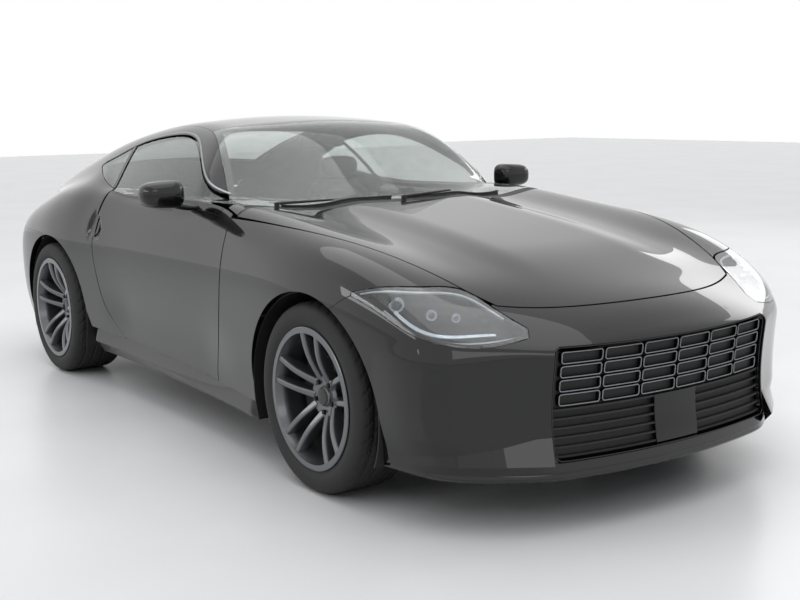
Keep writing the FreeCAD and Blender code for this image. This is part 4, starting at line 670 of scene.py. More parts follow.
# Full-grain seat leather, pigmented and embossed: black with a pebbled, soft shine
LEATHER = finish_of("pigmented_grain_leather", "#0f0f10", "#1a1a1b", 1.6, 0.25, Roughness=0.48)
# Suede-like microfibre centre panels, brushed: no shine at all
SUEDE = finish_of("brushed_microfibre", "#141415", "#202022", 0.8, 0.10, Roughness=0.92, Sheen_Weight=0.35)
# Needled carpet: deep black pile that eats light
CARPET = finish_of("needled_carpet", "#0a0a0b", "#171718", 2.2, 1.2, Roughness=0.96)
# Soft-touch slush-moulded dashboard skin: leather-like grain, matt
SOFT_SKIN = finish_of("slush_moulded_skin", "#131314", "#1c1c1e", 1.3, 0.12, Roughness=0.62)
# Wheel lug nuts, black zinc plated
ZINC = finish_of("black_zinc_plate", "#232426", "#36383a", 0.8, 0.02, Metallic=0.9, Roughness=0.3)
# Slot edges of the grille, painted light grey: thin bright outlines in the dark mouth
SLOT_EDGE = finish_of("light_grey_moulding", "#85888c", "#93969a", 2.0, Roughness=0.3)
# Blank number plate, pressed aluminium painted pale
BLANK = finish_of("blank_pressed_plate", "#c9c9c4", "#d3d3cf", 8.0, 0.05, Roughness=0.4)
# Woven mesh and honeycomb behind the grille, dipped black
CORE = finish_of("dipped_aluminium_core", "#070707", "#131313", 1.5, 0.3, Roughness=0.6)


def clear_of(name, tint, ior, grain, mirror=0.5):
    """A clear sheet: a Principled surface that transmits, its tint wandering a little over a grain.
    mirror is its specular level, 0.5 for bare glass and less for a bloomed one."""
    return finish_of(name, *tint, grain, Roughness=0.0, IOR=ior, Transmission_Weight=1.0,
                     Specular_IOR_Level=mirror)


# Laminated float glass, pale green-grey, with a coating that dims its reflections
SCREEN = clear_of("laminated_float_glass", ("#eaf0ed", "#eff4f1"), 1.5, 60, 0.25)
# Toughened side glass, privacy tinted in the melt
SIDE_GLASS = clear_of("tinted_toughened_glass", ("#ccd3d1", "#d2d8d6"), 1.5, 60)
# Hard-coated polycarbonate lamp lens: quite clear
LENS = clear_of("hard_coated_polycarbonate", ("#e6eaec", "#eef1f2"), 1.45, 40)
# Red acrylic light guides, unlit
RED = finish_of("red_acrylic", "#8d0c0f", "#a81316", 20, Roughness=0.12, Transmission_Weight=0.3)
# Smoked acrylic cover across the tail
SMOKE = finish_of("smoked_acrylic", "#070707", "#0c0b0b", 10, Roughness=0.05)
# Frosted light guide, unlit: milky white
GUIDE = finish_of("frosted_light_guide", "#a9adb1", "#bcc0c3", 3, Roughness=0.35)
# Silvered mirror glass
SILVERED = finish_of("silvered_mirror_glass", "#c9cdd0", "#d2d6d9", 40, Metallic=1.0, Roughness=0.02)
# Optical projector lens, dark behind
BULB_LENS = finish_of("projector_lens_glass", "#1b2430", "#2a3644", 12, Roughness=0.02,
                      Specular_IOR_Level=1.0)
# Display glass, switched off
DISPLAY = finish_of("switched_off_display", "#040405", "#08080a", 15, Roughness=0.08)


def placed(name, data):
    """A new object in the scene."""
    made = bpy.data.objects.new(name, data)
    bpy.context.scene.collection.objects.link(made)
    return made


def read(items, key, kind=np.float32):
    """Three numbers for each item, as rows."""
    found = np.empty(len(items) * 3, kind)
    items.foreach_get(key, found)
    return found.reshape(-1, 3)


def mesh_piece(name, sheet, material, body, *nodes):
    """Puts a sheet into a mesh object, in metres, with its own normals. It rides on a body and stands
    for CAD nodes."""
    mesh = bpy.data.meshes.new(name)
    count = len(sheet.t)
    mesh.vertices.add(len(sheet.p))
    mesh.vertices.foreach_set("co", (sheet.p * MM).astype(np.float32).ravel())
    mesh.loops.add(3 * count)
    mesh.loops.foreach_set("vertex_index", sheet.t.astype(np.int32).ravel())
    mesh.polygons.add(count)
    mesh.polygons.foreach_set("loop_start", np.arange(0, 3 * count, 3, dtype=np.int32))
    mesh.polygons.foreach_set("use_smooth", np.ones(count, bool))
    mesh.update(calc_edges=True)
    mesh.normals_split_custom_set_from_vertices(sheet.n.astype(np.float32).tolist())
    mesh.materials.append(material)
    piece = placed(name, mesh)
    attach(piece, body)
    if nodes:
        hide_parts(*nodes)
    return piece


# Outlines on the skin, ready for the dense panels. A sheet's edge stands a fold's radius inside the
# panel's edge, because the edge is rolled over it.
SHUT = SHUT_GAP / 2 + FOLD_RADIUS
SEAM = SEAM_GAP / 2 + FOLD_RADIUS


def embossed(sheet, height, e=0.6):
    """Moves points along their normals by height(points), and tilts each normal by the slope of
    height across the surface, found by central differences."""
    n = sheet.n
    h = height(sheet.p)
    first = unit(np.cross(n, np.where(np.abs(n[:, 2:]) < 0.9, [[0.0, 0.0, 1.0]], [[1.0, 0.0, 0.0]])))
    second = np.cross(n, first)
    tilted = n.copy()
    for along in (first, second):
        slope = (height(sheet.p + along * e) - height(sheet.p - along * e)) / (2 * e)
        tilted -= along * slope[:, None]
    return Sheet(sheet.p + n * h[:, None], unit(tilted), sheet.t)


POCKET_X = -789.0
POCKET_FOOT = 716.0
POCKET_TOP = 894.0
POCKET_DEPTH = 15.0


def leaf(p):
    """Millimetres outside the handle pocket: a leaf between two arcs, sines of the height, that lean
    forward as they rise."""
    x = p[..., 0]
    z = p[..., 2]
    t = np.clip((z - POCKET_FOOT) / (POCKET_TOP - POCKET_FOOT), 0, 1)
    front = POCKET_X + 118 * np.sin(math.pi * t ** 0.75) ** 0.9 * (1 - 0.3 * t)
    rear = POCKET_X - 52 * np.sin(math.pi * t ** 0.62)
    return np.maximum(np.maximum(rear - x, x - front), np.maximum(POCKET_FOOT - z, z - POCKET_TOP))


def handle_pocket(p):
    """The pocket's depth, eased in over 26 mm from its sides and over 60 to 70 mm from its tips."""
    z = p[..., 2]
    tips = ease((z - POCKET_FOOT - 4) / 70) * ease((POCKET_TOP - 4 - z) / 60)
    return -POCKET_DEPTH * ease(-leaf(p) / 26) * tips


def arch(p, oval, margin=0.0):
    """Millimetres outside a wheel arch's oval."""
    centre, reach, rise = oval
    r = np.hypot((p[..., 0] - centre) / (reach + margin), (p[..., 2] - ARCH_CENTRE) / (rise + margin))
    return (r - 1) * rise


def nose_angle(p):
    """Level angle from straight ahead round the upright axis behind the nose."""
    return np.degrees(np.arctan2(np.abs(p[..., 1]), p[..., 0] - NOSE_AXIS))


def tail_angle(p):
    """Level angle from straight back round the upright axis before the tail."""
    return np.degrees(np.arctan2(np.abs(p[..., 1]), TAIL_AXIS - p[..., 0]))


def lamp_space(p, margin=0.0):
    """Millimetres outside the headlamp's outline."""
    a = nose_angle(p)
    z = p[..., 2]
    out = np.maximum(LAMP_LOW(a) - z, z - LAMP_TOP(a))
    return np.maximum(out, np.maximum(LAMP_ENDS[0] - a, a - LAMP_ENDS[1]) * 16) - margin


def mouth_space(p, margin=0.0):
    """Millimetres outside the mouth, a rectangle with rounded corners."""
    half, low, high, corner = MOUTH
    y = np.abs(p[..., 1]) - (half - corner)
    z = np.abs(p[..., 2] - (low + high) / 2) - ((high - low) / 2 - corner)
    round_off = np.hypot(np.maximum(y, 0), np.maximum(z, 0)) - corner
    return round_off + np.minimum(np.maximum(y, z), 0) - margin


def bonnet_space(p, margin):
    """Millimetres outside the bonnet's outline, for points in front of the cowl."""
    x = p[..., 0]
    y = np.abs(p[..., 1])
    return np.maximum(x - bonnet_nose(y), y - BONNET_SIDE(x)) - margin


def sill_top(x):
    """Height of the sill's upper edge, below the door's shut line."""
    return DOOR_BOTTOM(x) - SHUT_GAP / 2


def diffuser_space(p, margin=0.0):
    """Millimetres outside the diffuser, a trapezium that widens downwards."""
    z = p[..., 2]
    side = DIFFUSER_SIDE + (DIFFUSER_TOP - z) * DIFFUSER_FLARE
    return np.maximum((tail_angle(p) - side) * 16, z - DIFFUSER_TOP) - margin


def tips_space(p, margin):
    """Millimetres outside the round openings for the tailpipes."""
    return np.hypot(np.abs(p[..., 1]) - PIPE_Y, p[..., 2] - PIPE_Z) - 46 - margin


def side_glass_space(p, margin):
    """Millimetres outside the side windows' opening."""
    x, z = p[..., 0], p[..., 2]
    return np.maximum(np.maximum(-1126 - x, z - GLASS_TOP(x)), QUARTER_GLASS_LOW(x) - z) - margin


FENDER_TOP = sampled(lambda x: girth_angle(from_above(x, BONNET_SIDE(x) + SHUT)), 480, 1800, 34)


def fender_outline(u, v):
    """Station and girth angle inside the fender's edges, by repeated substitution."""
    b = 0 * u
    for _ in range(8):
        z = GIRTH_HEIGHT + 900 * np.sin(np.radians(b))
        first = DOOR_FRONT(z) + SHUT
        x = first + (FENDER_TIP - FOLD_RADIUS - first) * u
        low = FENDER_LOW(x) - np.where(x > FRONT_AXLE, 1.2, 0.0)
        b = low + (FENDER_TOP(x) - low) * v
    return x, b


def quarter_outline(u, v):
    """Station and girth angle inside the quarter panel's edges, by repeated substitution."""
    b = 20 + 0 * u
    for _ in range(10):
        z = GIRTH_HEIGHT + 880 * np.sin(np.radians(b))
        second = DOOR_REAR(z) - SHUT
        x = QUARTER_REAR + FOLD_RADIUS + (second - QUARTER_REAR - FOLD_RADIUS) * u
        b = QUARTER_LOW(x) + (QUARTER_TOP(x) - 0.1 - QUARTER_LOW(x)) * v
    return x, b


def pair(name, sheet, material, body="shell", *nodes):
    """The same piece on the left and, mirrored, on the right, with the sides' own bodies and nodes."""
    made = []
    for side, s in (("left", sheet), ("right", sheet.mirrored())):
        made.append(mesh_piece(name + "_" + side, s, material, body.replace("SIDE", side),
                               *[n.replace("SIDE", side) for n in nodes]))
    return made


def twin(name, sheet, material, body="shell", *nodes):
    """Both sides as one piece."""
    return mesh_piece(name, sheet.joined(sheet.mirrored()), material, body, *nodes)


def ribbon(path, up, half, deep, closed=False):
    """A bar of rectangular section: a path swept with its top face square to up."""
    if closed:
        along = np.roll(path, -1, 0) - np.roll(path, 1, 0)
        path, up, along = (np.vstack([a, a[:1]]) for a in (path, up, along))
    else:
        along = np.gradient(path, axis=0)
    along = unit(along)
    side = unit(np.cross(along, up))
    a = path + side * half
    b = path - side * half
    c = b - up * deep
    d = a - up * deep
    faces = []
    for p, q, n in ((a, b, up), (b, c, -side), (c, d, -up), (d, a, side)):
        faces.append(grid(np.stack([p, q], 1), np.stack([n, n], 1)))
    if not closed:
        for i, n in ((0, -along[0]), (-1, along[-1])):
            faces.append(facing(np.array([[a[i], b[i]], [d[i], c[i]]]), n))
    return merged(faces)


def bar_on(line, lift, half, deep, closed=False):
    """Such a bar along a line on the skin, its top face lifted along the body's normals."""
    n = outward(line)
    return ribbon(line + n * lift, n, half, deep, closed)


def lathe(profile, steps=96, crease=28.0):
    """Turned round the Y axis: (r cos a, w, r sin a) for a closed outline of (r, w). Corners sharper
    than the crease angle stay sharp."""
    profile = np.array(profile, float)
    area = np.sum(profile[:-1, 0] * profile[1:, 1] - profile[1:, 0] * profile[:-1, 1])
    area += profile[-1, 0] * profile[0, 1] - profile[0, 0] * profile[-1, 1]
    sign = 1.0 if area > 0 else -1.0
    d = np.diff(profile, axis=0)
    angle = np.degrees(np.arctan2(d[:, 1], d[:, 0]))
    turn = np.abs((np.diff(angle) + 180) % 360 - 180)
    cuts = [0, *(np.nonzero(turn > crease)[0] + 1), len(profile) - 1]
    a = np.linspace(0, 2 * math.pi, steps + 1)
    runs = []
    for i, j in zip(cuts[:-1], cuts[1:]):
        run = profile[i:j + 1]
        t = unit(np.gradient(run, axis=0))
        r, w = run[:, :1], run[:, 1:]
        nr, nw = sign * t[:, 1:], -sign * t[:, :1]
        p = points(r * np.cos(a), w + 0 * a, r * np.sin(a))
        n = points(nr * np.cos(a), nw + 0 * a, nr * np.sin(a))
        runs.append(grid(p, n).tidy())
    return merged(runs)


def tube(rings):
    """A closed skin over a row of rings of points, with a flat fan at each end."""
    rings = np.asarray(rings, float)
    closed = np.concatenate([rings, rings[:, :1]], 1)
    du = np.gradient(closed, axis=0)
    wrapped = np.concatenate([rings[:, -1:], closed, rings[:, 1:2]], 1)
    dv = (wrapped[:, 2:] - wrapped[:, :-2]) / 2
    n = unit(np.cross(du, dv))
    middle = rings.mean(1, keepdims=True)
    if ((closed - middle) * n).sum() < 0:
        n = -n
    made = [grid(closed, n)]
    for i, j in ((0, 1), (-1, -2)):
        fan = np.stack([closed[i], np.broadcast_to(rings[i].mean(0), closed[i].shape)], 1)
        made.append(facing(fan, unit(rings[i].mean(0) - rings[j].mean(0))).tidy())
    return merged(made)


def rod(start, end, radius, sides=24, end_radius=None):
    """A round bar between two points, tapered where an end radius is given."""
    start = np.asarray(start, float)
    end = np.asarray(end, float)
    along = unit(end - start)
    first = unit(np.cross(along, [0.0, 0.0, 1.0] if abs(along[2]) < 0.9 else AHEAD))
    second = np.cross(along, first)
    a = np.linspace(0, 2 * math.pi, sides, endpoint=False)[:, None]
    ring = np.cos(a) * first + np.sin(a) * second
    last = radius if end_radius is None else end_radius
    return tube([start + ring * radius, end + ring * last])


def turned_about_y(sheet, degrees):
    """The sheet turned round the Y axis: x' = x cos + z sin and z' = z cos - x sin."""
    c, s = math.cos(math.radians(degrees)), math.sin(math.radians(degrees))
    turn = np.array([[c, 0, s], [0, 1, 0], [-s, 0, c]])
    return Sheet(sheet.p @ turn.T, sheet.n @ turn.T, sheet.t)


# Outer panels
# How deep the door's card and walls lie below its skin, and how near the sill they may come to Y = 0
CARD_DEPTH = 96.0
WALL_DEPTHS = (24.0, 92.0)
STEP_SIDE = 800.0


def doors():
    """Skin with a folded edge and the pocket for the handle, a card inside, and walls between."""
    outline = patch(lambda z: DOOR_REAR(z) + SHUT, lambda z: DOOR_FRONT(z) - SHUT,
                    lambda x: DOOR_BOTTOM(x) + SHUT, lambda x: BELT(x) - 2 - FOLD_RADIUS, 600)
    skin_sheet = embossed(laid(from_side, outline, 100, 52), handle_pocket)
    pair("door_skin", skin_sheet.thick(26), PAINT, "door_SIDE", "door_SIDE")
    u, v = lattice(0.04, 0.955, 61, 0.04, 0.985, 33)
    card = from_side(*outline(u, v))
    card = card - outward(card) * CARD_DEPTH
    card[..., 1] = np.where(card[..., 2] < DOOR_STEP, np.maximum(card[..., 1], STEP_SIDE), card[..., 1])
    outside = np.array([0.0, 5000.0, 0.0])
    pair("door_card", grid(card).away_from(outside).thick(14), SOFT_SKIN, "door_SIDE")
    ends = [rim_band(outline, side, value) for side in "uv" for value in (0.0, 1.0)]
    pair("door_edge", merged(ends), PAINT, "door_SIDE")


def rim_band(outline, side, value):
    """A wall between the door's skin and its card along one edge, as a plate 4 mm thick."""
    t = np.linspace(0.02, 0.98, 50)
    fixed = np.full(50, {0.0: 0.012, 1.0: 0.985}[value])
    u, v = (fixed, t) if side == "u" else (t, fixed)
    skin_line = from_side(*outline(u, v))
    n = outward(skin_line)
    near, far = (skin_line - n * depth for depth in WALL_DEPTHS)
    far[:, 1] = np.where(far[:, 2] < DOOR_STEP, np.maximum(far[:, 1], STEP_SIDE + 2), far[:, 1])
    depth = np.linspace(0, 1, 5)[None, :, None]
    p = near[:, None] * (1 - depth) + far[:, None] * depth
    return grid(p).away_from(np.array([-100.0, 850.0, 600.0])).thick(4, 0.8)


def fenders():
    """The fender skin, cut round the wheel opening, with a folded edge."""
    f = FOLD_RADIUS
    sheet = laid(round_girth, fender_outline, 96, 56).cut(
        lambda p: arch(p, FRONT_ARCH, f),
        lambda p: lamp_space(p, SEAM_GAP + f),
        lambda p: p[..., 2] - sill_top(p[..., 0]) - SEAM_GAP - f,
        lambda p: np.maximum(p[..., 2] - BUMPER_TOP(nose_angle(p)) - 2 * SEAM_GAP - f,
                             (nose_angle(p) - 84) * 12))
    pair("fender_skin", sheet.thick(24), PAINT, "shell", "fender_SIDE")


def quarters():
    """The quarter skin, cut round the wheel opening and the side window."""
    f = FOLD_RADIUS
    sheet = laid(round_girth, quarter_outline, 120, 64).cut(
        lambda p: arch(p, REAR_ARCH, f),
        lambda p: side_glass_space(p, f),
        lambda p: np.maximum(CANTRAIL_REAR - SEAM_GAP - f - p[..., 0],
                             GLASS_TOP(p[..., 0]) - 0.5 - f - p[..., 2]),
        lambda p: p[..., 2] - sill_top(p[..., 0]) - SEAM_GAP - f,
        lambda p: np.maximum(p[..., 2] - BUMPER_REAR_TOP - SEAM_GAP - f, p[..., 0] - BUMPER_REAR_END),
        lambda p: np.maximum(np.maximum((tail_angle(p) - LAMP_BAND_END) * 14, p[..., 2] - LAMP_BAND_TOP),
                             p[..., 0] + 1500) - SEAM_GAP - f)
    pair("quarter_skin", embossed(sheet, handle_pocket).thick(24), PAINT, "shell", "quarter_panel_SIDE")


def handles():
    """A narrow bar along the door's rear edge, across the pocket."""
    grip = laid(from_side, patch(lambda z: DOOR_REAR(z) + 5, lambda z: DOOR_REAR(z) + 17,
                                 constant(752), constant(880), 800), 3, 30, -1.5)
    pair("door_handle", grip.thick(4, 0.8), PAINT, "door_SIDE")


def bonnet():
    """The bonnet skin between cowl, nose and both side lines."""
    outline = patch(lambda y: cowl(y) + SHUT, lambda y: bonnet_nose(y) - SHUT,
                    lambda x: SHUT - BONNET_SIDE(x), lambda x: BONNET_SIDE(x) - SHUT, 0)
    mesh_piece("bonnet_skin", laid(from_above, outline, 88, 92).thick(22), PAINT, "bonnet", "bonnet")


def roof():
    """The roof skin between header, rear line and gutters."""
    outline = patch(constant(ROOF_REAR + FOLD_RADIUS), lambda y: header(y) - FOLD_RADIUS,
                    lambda x: SEAM - GUTTER(x), lambda x: GUTTER(x) - SEAM, 0)
    mesh_piece("roof_skin", laid(from_above, outline, 48, 60).thick(24), PAINT, "shell", "roof")


FRIT_WIDTH = 34.0


def screen():
    """The windscreen, its black printed border below the glass, and the sensor housing at its top."""
    outline = patch(lambda y: header(y) + SEAM_GAP + 1, lambda y: cowl(y) - 53,
                    lambda x: SEAM - GUTTER(x), lambda x: GUTTER(x) - SEAM, 0)
    sheet = laid(from_above, outline, 44, 64)
    mesh_piece("windscreen_glass", sheet.thick(5, 0.8), SCREEN, "shell", "windscreen")

    def band(p):
        x, y = p[..., 0], np.abs(p[..., 1])
        inside = np.minimum(np.minimum(x - header(y) - 8, cowl(y) - 58 - x), GUTTER(x) - y)
        return FRIT_WIDTH - inside

    frit = laid(from_above, outline, 72, 100, -5.6).clipped(band)
    mesh_piece("windscreen_frit", frit.thick(0.4, 0.1), PLASTIC, "shell")
    mesh_piece("sensor_housing", rounded_block((-30, 0, 1225), (46, 60, 26), 3.0), PLASTIC, "shell")


def rounded_block(centre, half, power=4.0, rows=24, columns=36, tilt=0.0):
    """A superellipsoid: each of cos and sin raised to 2/power, so 2 is an ellipsoid and more is
    squarer. It may be tilted about Y."""
    e = 2.0 / power
    v = np.linspace(-math.pi / 2, math.pi / 2, rows + 1)[:, None]
    u = np.linspace(0, 2 * math.pi, columns + 1)[None, :]
    p = points(bent(np.cos(v), e) * bent(np.cos(u), e), bent(np.cos(v), e) * bent(np.sin(u), e),
               bent(np.sin(v), e) + 0 * u)
    n = unit(bent(p, power - 1) / np.asarray(half))
    sheet = grid(p * np.asarray(half, float), n).tidy()
    return turned_about_y(sheet, tilt).moved(centre)


PILLAR_LOW = 976.5


def cantrails():
    """The strip between roof and side glass with the front pillar, the pillar's foot down to the
    fender, and the bright trim over the side glass."""
    f = FOLD_RADIUS
    gutter = sampled(lambda x: girth_angle(from_above(x, GUTTER(x) + SEAM)), -870, 520, 40)
    glass = sampled(lambda x: girth_angle(from_side(x, np.maximum(GLASS_TOP(x) + 0.5, PILLAR_LOW))),
                    -870, 520, 40)
    rear, front = CANTRAIL_REAR + f, CANTRAIL_FRONT - f

    def strip(u, v):
        x = rear + (front - rear) * u
        low = glass(x) + 0.1
        return x, low + (gutter(x) - low) * v

    sheet = laid(round_girth, strip, 116, 11).cut(
        lambda p: p[..., 2] - GLASS_TOP(p[..., 0]) - f,
        lambda p: np.maximum(p[..., 2] - PILLAR_LOW + 1 - f, 340 - f - p[..., 0]))
    twin("cantrail_skin", sheet.thick(30), PAINT, "shell", "cantrails")
    side = sampled(lambda x: from_side(x, BELT(x) + 4 + f)[..., 1], 480, 620, 15)
    foot = patch(constant(CANTRAIL_FRONT + SEAM_GAP + f), lambda y: cowl(y) - SHUT,
                 lambda x: GUTTER(x) + SEAM, lambda x: np.minimum(side(x), BONNET_SIDE(x) + 1), 780)
    twin("pillar_foot", laid(from_above, foot, 20, 12).thick(4, 1), PAINT, "shell")
    x = np.linspace(-1108, 300, 140)
    twin("window_trim", bar_on(from_side(x, GLASS_TOP(x) + 8), 1.2, 4.0, 1.8), SATIN, "shell")


def glass():
    """Door and quarter panes, the divider between them, the mirror's sail and the waist seal."""
    f = 0.9

    def door_pane(u, v):
        outline = patch(lambda z: DOOR_REAR(z) + 8 + f + (z - 960) * 0.02, constant(345 - f),
                        lambda x: BELT(x) - 1.1 + f, lambda x: GLASS_TOP(x) - 7 - f, 1050)
        a, b = outline(u, v)
        return a, np.maximum(b, BELT(a) - 1.1 + f + 2.5 * v)

    pair("door_pane", laid(from_side, door_pane, 80, 20, -3).thick(5, f), SIDE_GLASS, "door_SIDE",
         "door_glass_SIDE")
    outline = patch(constant(-1125 + f), lambda z: DOOR_REAR(z) - 8 - f,
                    lambda x: QUARTER_GLASS_LOW(x) + SEAM_GAP + f,
                    lambda x: GLASS_TOP(x) - SEAM_GAP - f, 1080)
    twin("quarter_pane", laid(from_side, outline, 50, 20, -3).thick(5, f), SIDE_GLASS, "shell",
         "quarter_windows")
    divider = patch(lambda z: DOOR_REAR(z) - 42, lambda z: DOOR_REAR(z) - 8,
                    lambda x: QUARTER_GLASS_LOW(x) + 1, lambda x: GLASS_TOP(x) - 1, 1080)
    twin("quarter_divider", laid(from_side, divider, 8, 20, -1).thick(1.4, 0.4), GLOSS, "shell")
    sail = patch(constant(205), constant(470), lambda x: BELT(x) - 34, lambda x: BELT(x) - 4, 950)
    pair("mirror_sail", laid(from_side, sail, 30, 6, 1.2).thick(1.6, 0.5), GLOSS, "door_SIDE")
    x = np.linspace(-700, 330, 100)
    pair("waist_seal", bar_on(from_side(x, BELT(x) - 7), 2.2, 5, 2.6), GLOSS, "door_SIDE")


def hatch():
    """The tailgate's skin, cut round its pane, with the pane, its black band and the demister wires."""
    f = FOLD_RADIUS

    def outline(side, front, rear):
        return patch(lambda y: HATCH_FRONT(y) + front, rear, lambda a: side - hatch_side(a),
                     lambda a: hatch_side(a) - side, 0)

    lid = laid(round_back, outline(f, f / 11, lambda y: HATCH_REAR(y) - f / 14), 90, 84)

    def outside_pane(p):
        a, y = back_angle(p), np.abs(p[..., 1])
        return np.maximum(np.maximum((HATCH_FRONT(y) + 1.5 - a) * 9, (a - HATCH_PANE_LOW) * 9),
                          y - hatch_side(a) + HATCH_PANE_SIDE) - f

    mesh_piece("hatch_skin", lid.clipped(outside_pane).thick(24), PAINT, "hatch", "hatch")
    margin = 1.5 + 0.9
    pane = patch(lambda y: HATCH_FRONT(y) + 1.5 + margin / 9, constant(HATCH_PANE_LOW - margin / 9),
                 lambda a: HATCH_PANE_SIDE + margin - hatch_side(a),
                 lambda a: hatch_side(a) - HATCH_PANE_SIDE - margin, 0)
    sheet = laid(round_back, pane, 50, 44)
    mesh_piece("hatch_pane", sheet.thick(5, 0.9), SIDE_GLASS, "hatch", "hatch_glass")
    frit = laid(round_back, pane, 88, 70, -5.4).clipped(lambda p: 30 + outside_pane(p))
    mesh_piece("hatch_frit", frit.thick(0.4, 0.1), PLASTIC, "hatch")
    wires = []
    for a in np.linspace(8, 38, 12):
        y = np.linspace(-400, 400, 30) * np.interp(a, [8, 38], [1.0, 0.98])
        wires.append(bar_on(round_back(np.full(30, a), y), -5.3, 0.7, 0.4))
    mesh_piece("demister_wires", merged(wires), SATIN, "hatch")


def lip_relief(p):
    """The lip's upper face leans back below the mouth, and a crease stands down each corner."""
    z = p[..., 2]
    side = ease((np.abs(p[..., 1]) - 505) / 12)
    crease = 15 * np.maximum(0, 1 - np.abs(nose_angle(p) - 47) / 15)
    crease = crease * ease((z - 240) / 90) * ease((640 - z) / 90)
    return crease - 0.5 * np.maximum(z - 212, 0) * (1 - side) * ease((245 - z) / 3 + 1)


def front_bumper():
    """The bumper skin round mouth, lamps and arches, four parking sensors, and the splitter below."""
    f = FOLD_RADIUS
    outline = patch(constant(-BUMPER_SIDE), constant(BUMPER_SIDE), constant(BUMPER_BOTTOM + f),
                    lambda a: BUMPER_TOP(np.abs(a)) - f, 500)
    sheet = laid(round_nose, outline, 228, 50).cut(
        lambda p: arch(p, FRONT_ARCH, f), lambda p: lamp_space(p, SEAM_GAP + f),
        lambda p: mouth_space(p, f), lambda p: bonnet_space(p, SHUT))
    mesh_piece("front_bumper_skin", embossed(sheet, lip_relief).thick(22), PAINT, "shell", "bumper_front")
    spots = []
    for y, z in SENSORS:
        p = skin(points(NOSE_AXIS, y, z), AHEAD, 1300)
        n = outward(p)
        spots.append(rod(p - n * 3, p + n * 0.4, 9))
    mesh_piece("parking_sensors", merged(spots), PAINT, "shell")
    lip = patch(constant(-SPLITTER_SIDE), constant(SPLITTER_SIDE), constant(SPLITTER_LOW + f),
                constant(BUMPER_BOTTOM - SEAM_GAP - f), 190)
    sheet = laid(round_nose, lip, 180, 9)

    def bevels(p):
        z = p[..., 2]
        return -0.9 * np.maximum(188 - z, 0) - 0.5 * np.maximum(z - 191, 0)

    sheet = embossed(sheet, bevels).clipped(lambda p: arch(p, FRONT_ARCH, f))
    mesh_piece("splitter_skin", sheet.thick(40), PAINT, "shell", "splitter")


# The slots: how many across and up, their pitch in height, and the margins beside and above them
SLOT_COLUMNS = 6
SLOT_ROWS = 4
SLOT_PITCH = 46.0
SLOT_SIDE = 28.0
SLOT_MARGIN = 14.0


def grille():
    """The mouth: a dark core, its gloss frame, light-edged slots above and long bars below."""
    half, low, high, corner = MOUTH

    def on_face(y, z, deep):
        return skin(points(1700, y, z), AHEAD, 700) - AHEAD * deep

    def rounded(y, z, hy, hz, r, deep, count=7):
        corners = []
        for k, (sy, sz) in enumerate(((1, 1), (-1, 1), (-1, -1), (1, -1))):
            a = np.radians(np.linspace(0, 90, count) + 90 * k)
            corners.append(np.stack([y + sy * (hy - r) + r * np.cos(a),
                                     z + sz * (hz - r) + r * np.sin(a)], 1))
        path = np.concatenate(corners)
        pieces = []
        for a, b in zip(path, np.roll(path, -1, 0)):
            steps = max(1, int(np.linalg.norm(b - a) / 14))
            pieces.append(a + (b - a) * np.linspace(0, 1, steps, endpoint=False)[:, None])
        path = np.concatenate(pieces)
        return on_face(path[:, 0], path[:, 1], deep)

    def bar(path, *sizes):
        return ribbon(path, np.broadcast_to(AHEAD, path.shape), *sizes)

    core = grid(on_face(*lattice(2 - half, half - 2, 56, low + 2, high - 2, 18), 33))
    core = core.clipped(lambda p: -mouth_space(p, -2.2))
    mesh_piece("grille_core", core.thick(3, 0.4), CORE, "shell", "grille")
    path = rounded(0, (low + high) / 2, half - 2.4, (high - low) / 2 - 2.4, corner - 2, 1.0, 12)
    mesh_piece("grille_frame", bar(path, 1.6, 32, True), GLOSS, "shell")
    pitch_y = 2 * (half - SLOT_SIDE) / SLOT_COLUMNS
    slots_low = high - SLOT_MARGIN - SLOT_ROWS * SLOT_PITCH
    rings, liners = [], []
    for column in range(SLOT_COLUMNS):
        for row in range(SLOT_ROWS):
            y = -half + SLOT_SIDE + pitch_y * (column + 0.5)
            z = high - SLOT_MARGIN - SLOT_PITCH * (row + 0.5)
            path = rounded(y, z, pitch_y / 2 - 6, SLOT_PITCH / 2 - 5, 9, 17)
            rings.append(bar(path, 1.3, 2.5, True))
            liners.append(bar(path - AHEAD * 2.6, 2.2, 13, True))
    mesh_piece("grille_slot_edges", merged(rings), SLOT_EDGE, "shell")
    mesh_piece("grille_slot_walls", merged(liners), GLOSS, "shell")
    bars = []
    base = low + SLOT_MARGIN
    pitch = (slots_low - base - 8) / 5
    y = np.linspace(-half + 8, half - 8, 70)
    for k in range(6):
        bars.append(bar(on_face(y, np.full(70, base + pitch * k), 16), 3.2, 16))
    mesh_piece("grille_bars", merged(bars), PLASTIC, "shell")
    panel = grid(on_face(*lattice(-98, 98, 20, low + 8, slots_low - 6, 12), 14))
    mesh_piece("grille_sensor_panel", panel.thick(12, 2), GLOSS, "shell")


# The lamp's three lenses: angle round the nose, height and radius
LENSES = ((57.5, 742.0, 22.0), (50.5, 716.0, 15.0), (46.2, 705.0, 12.0))


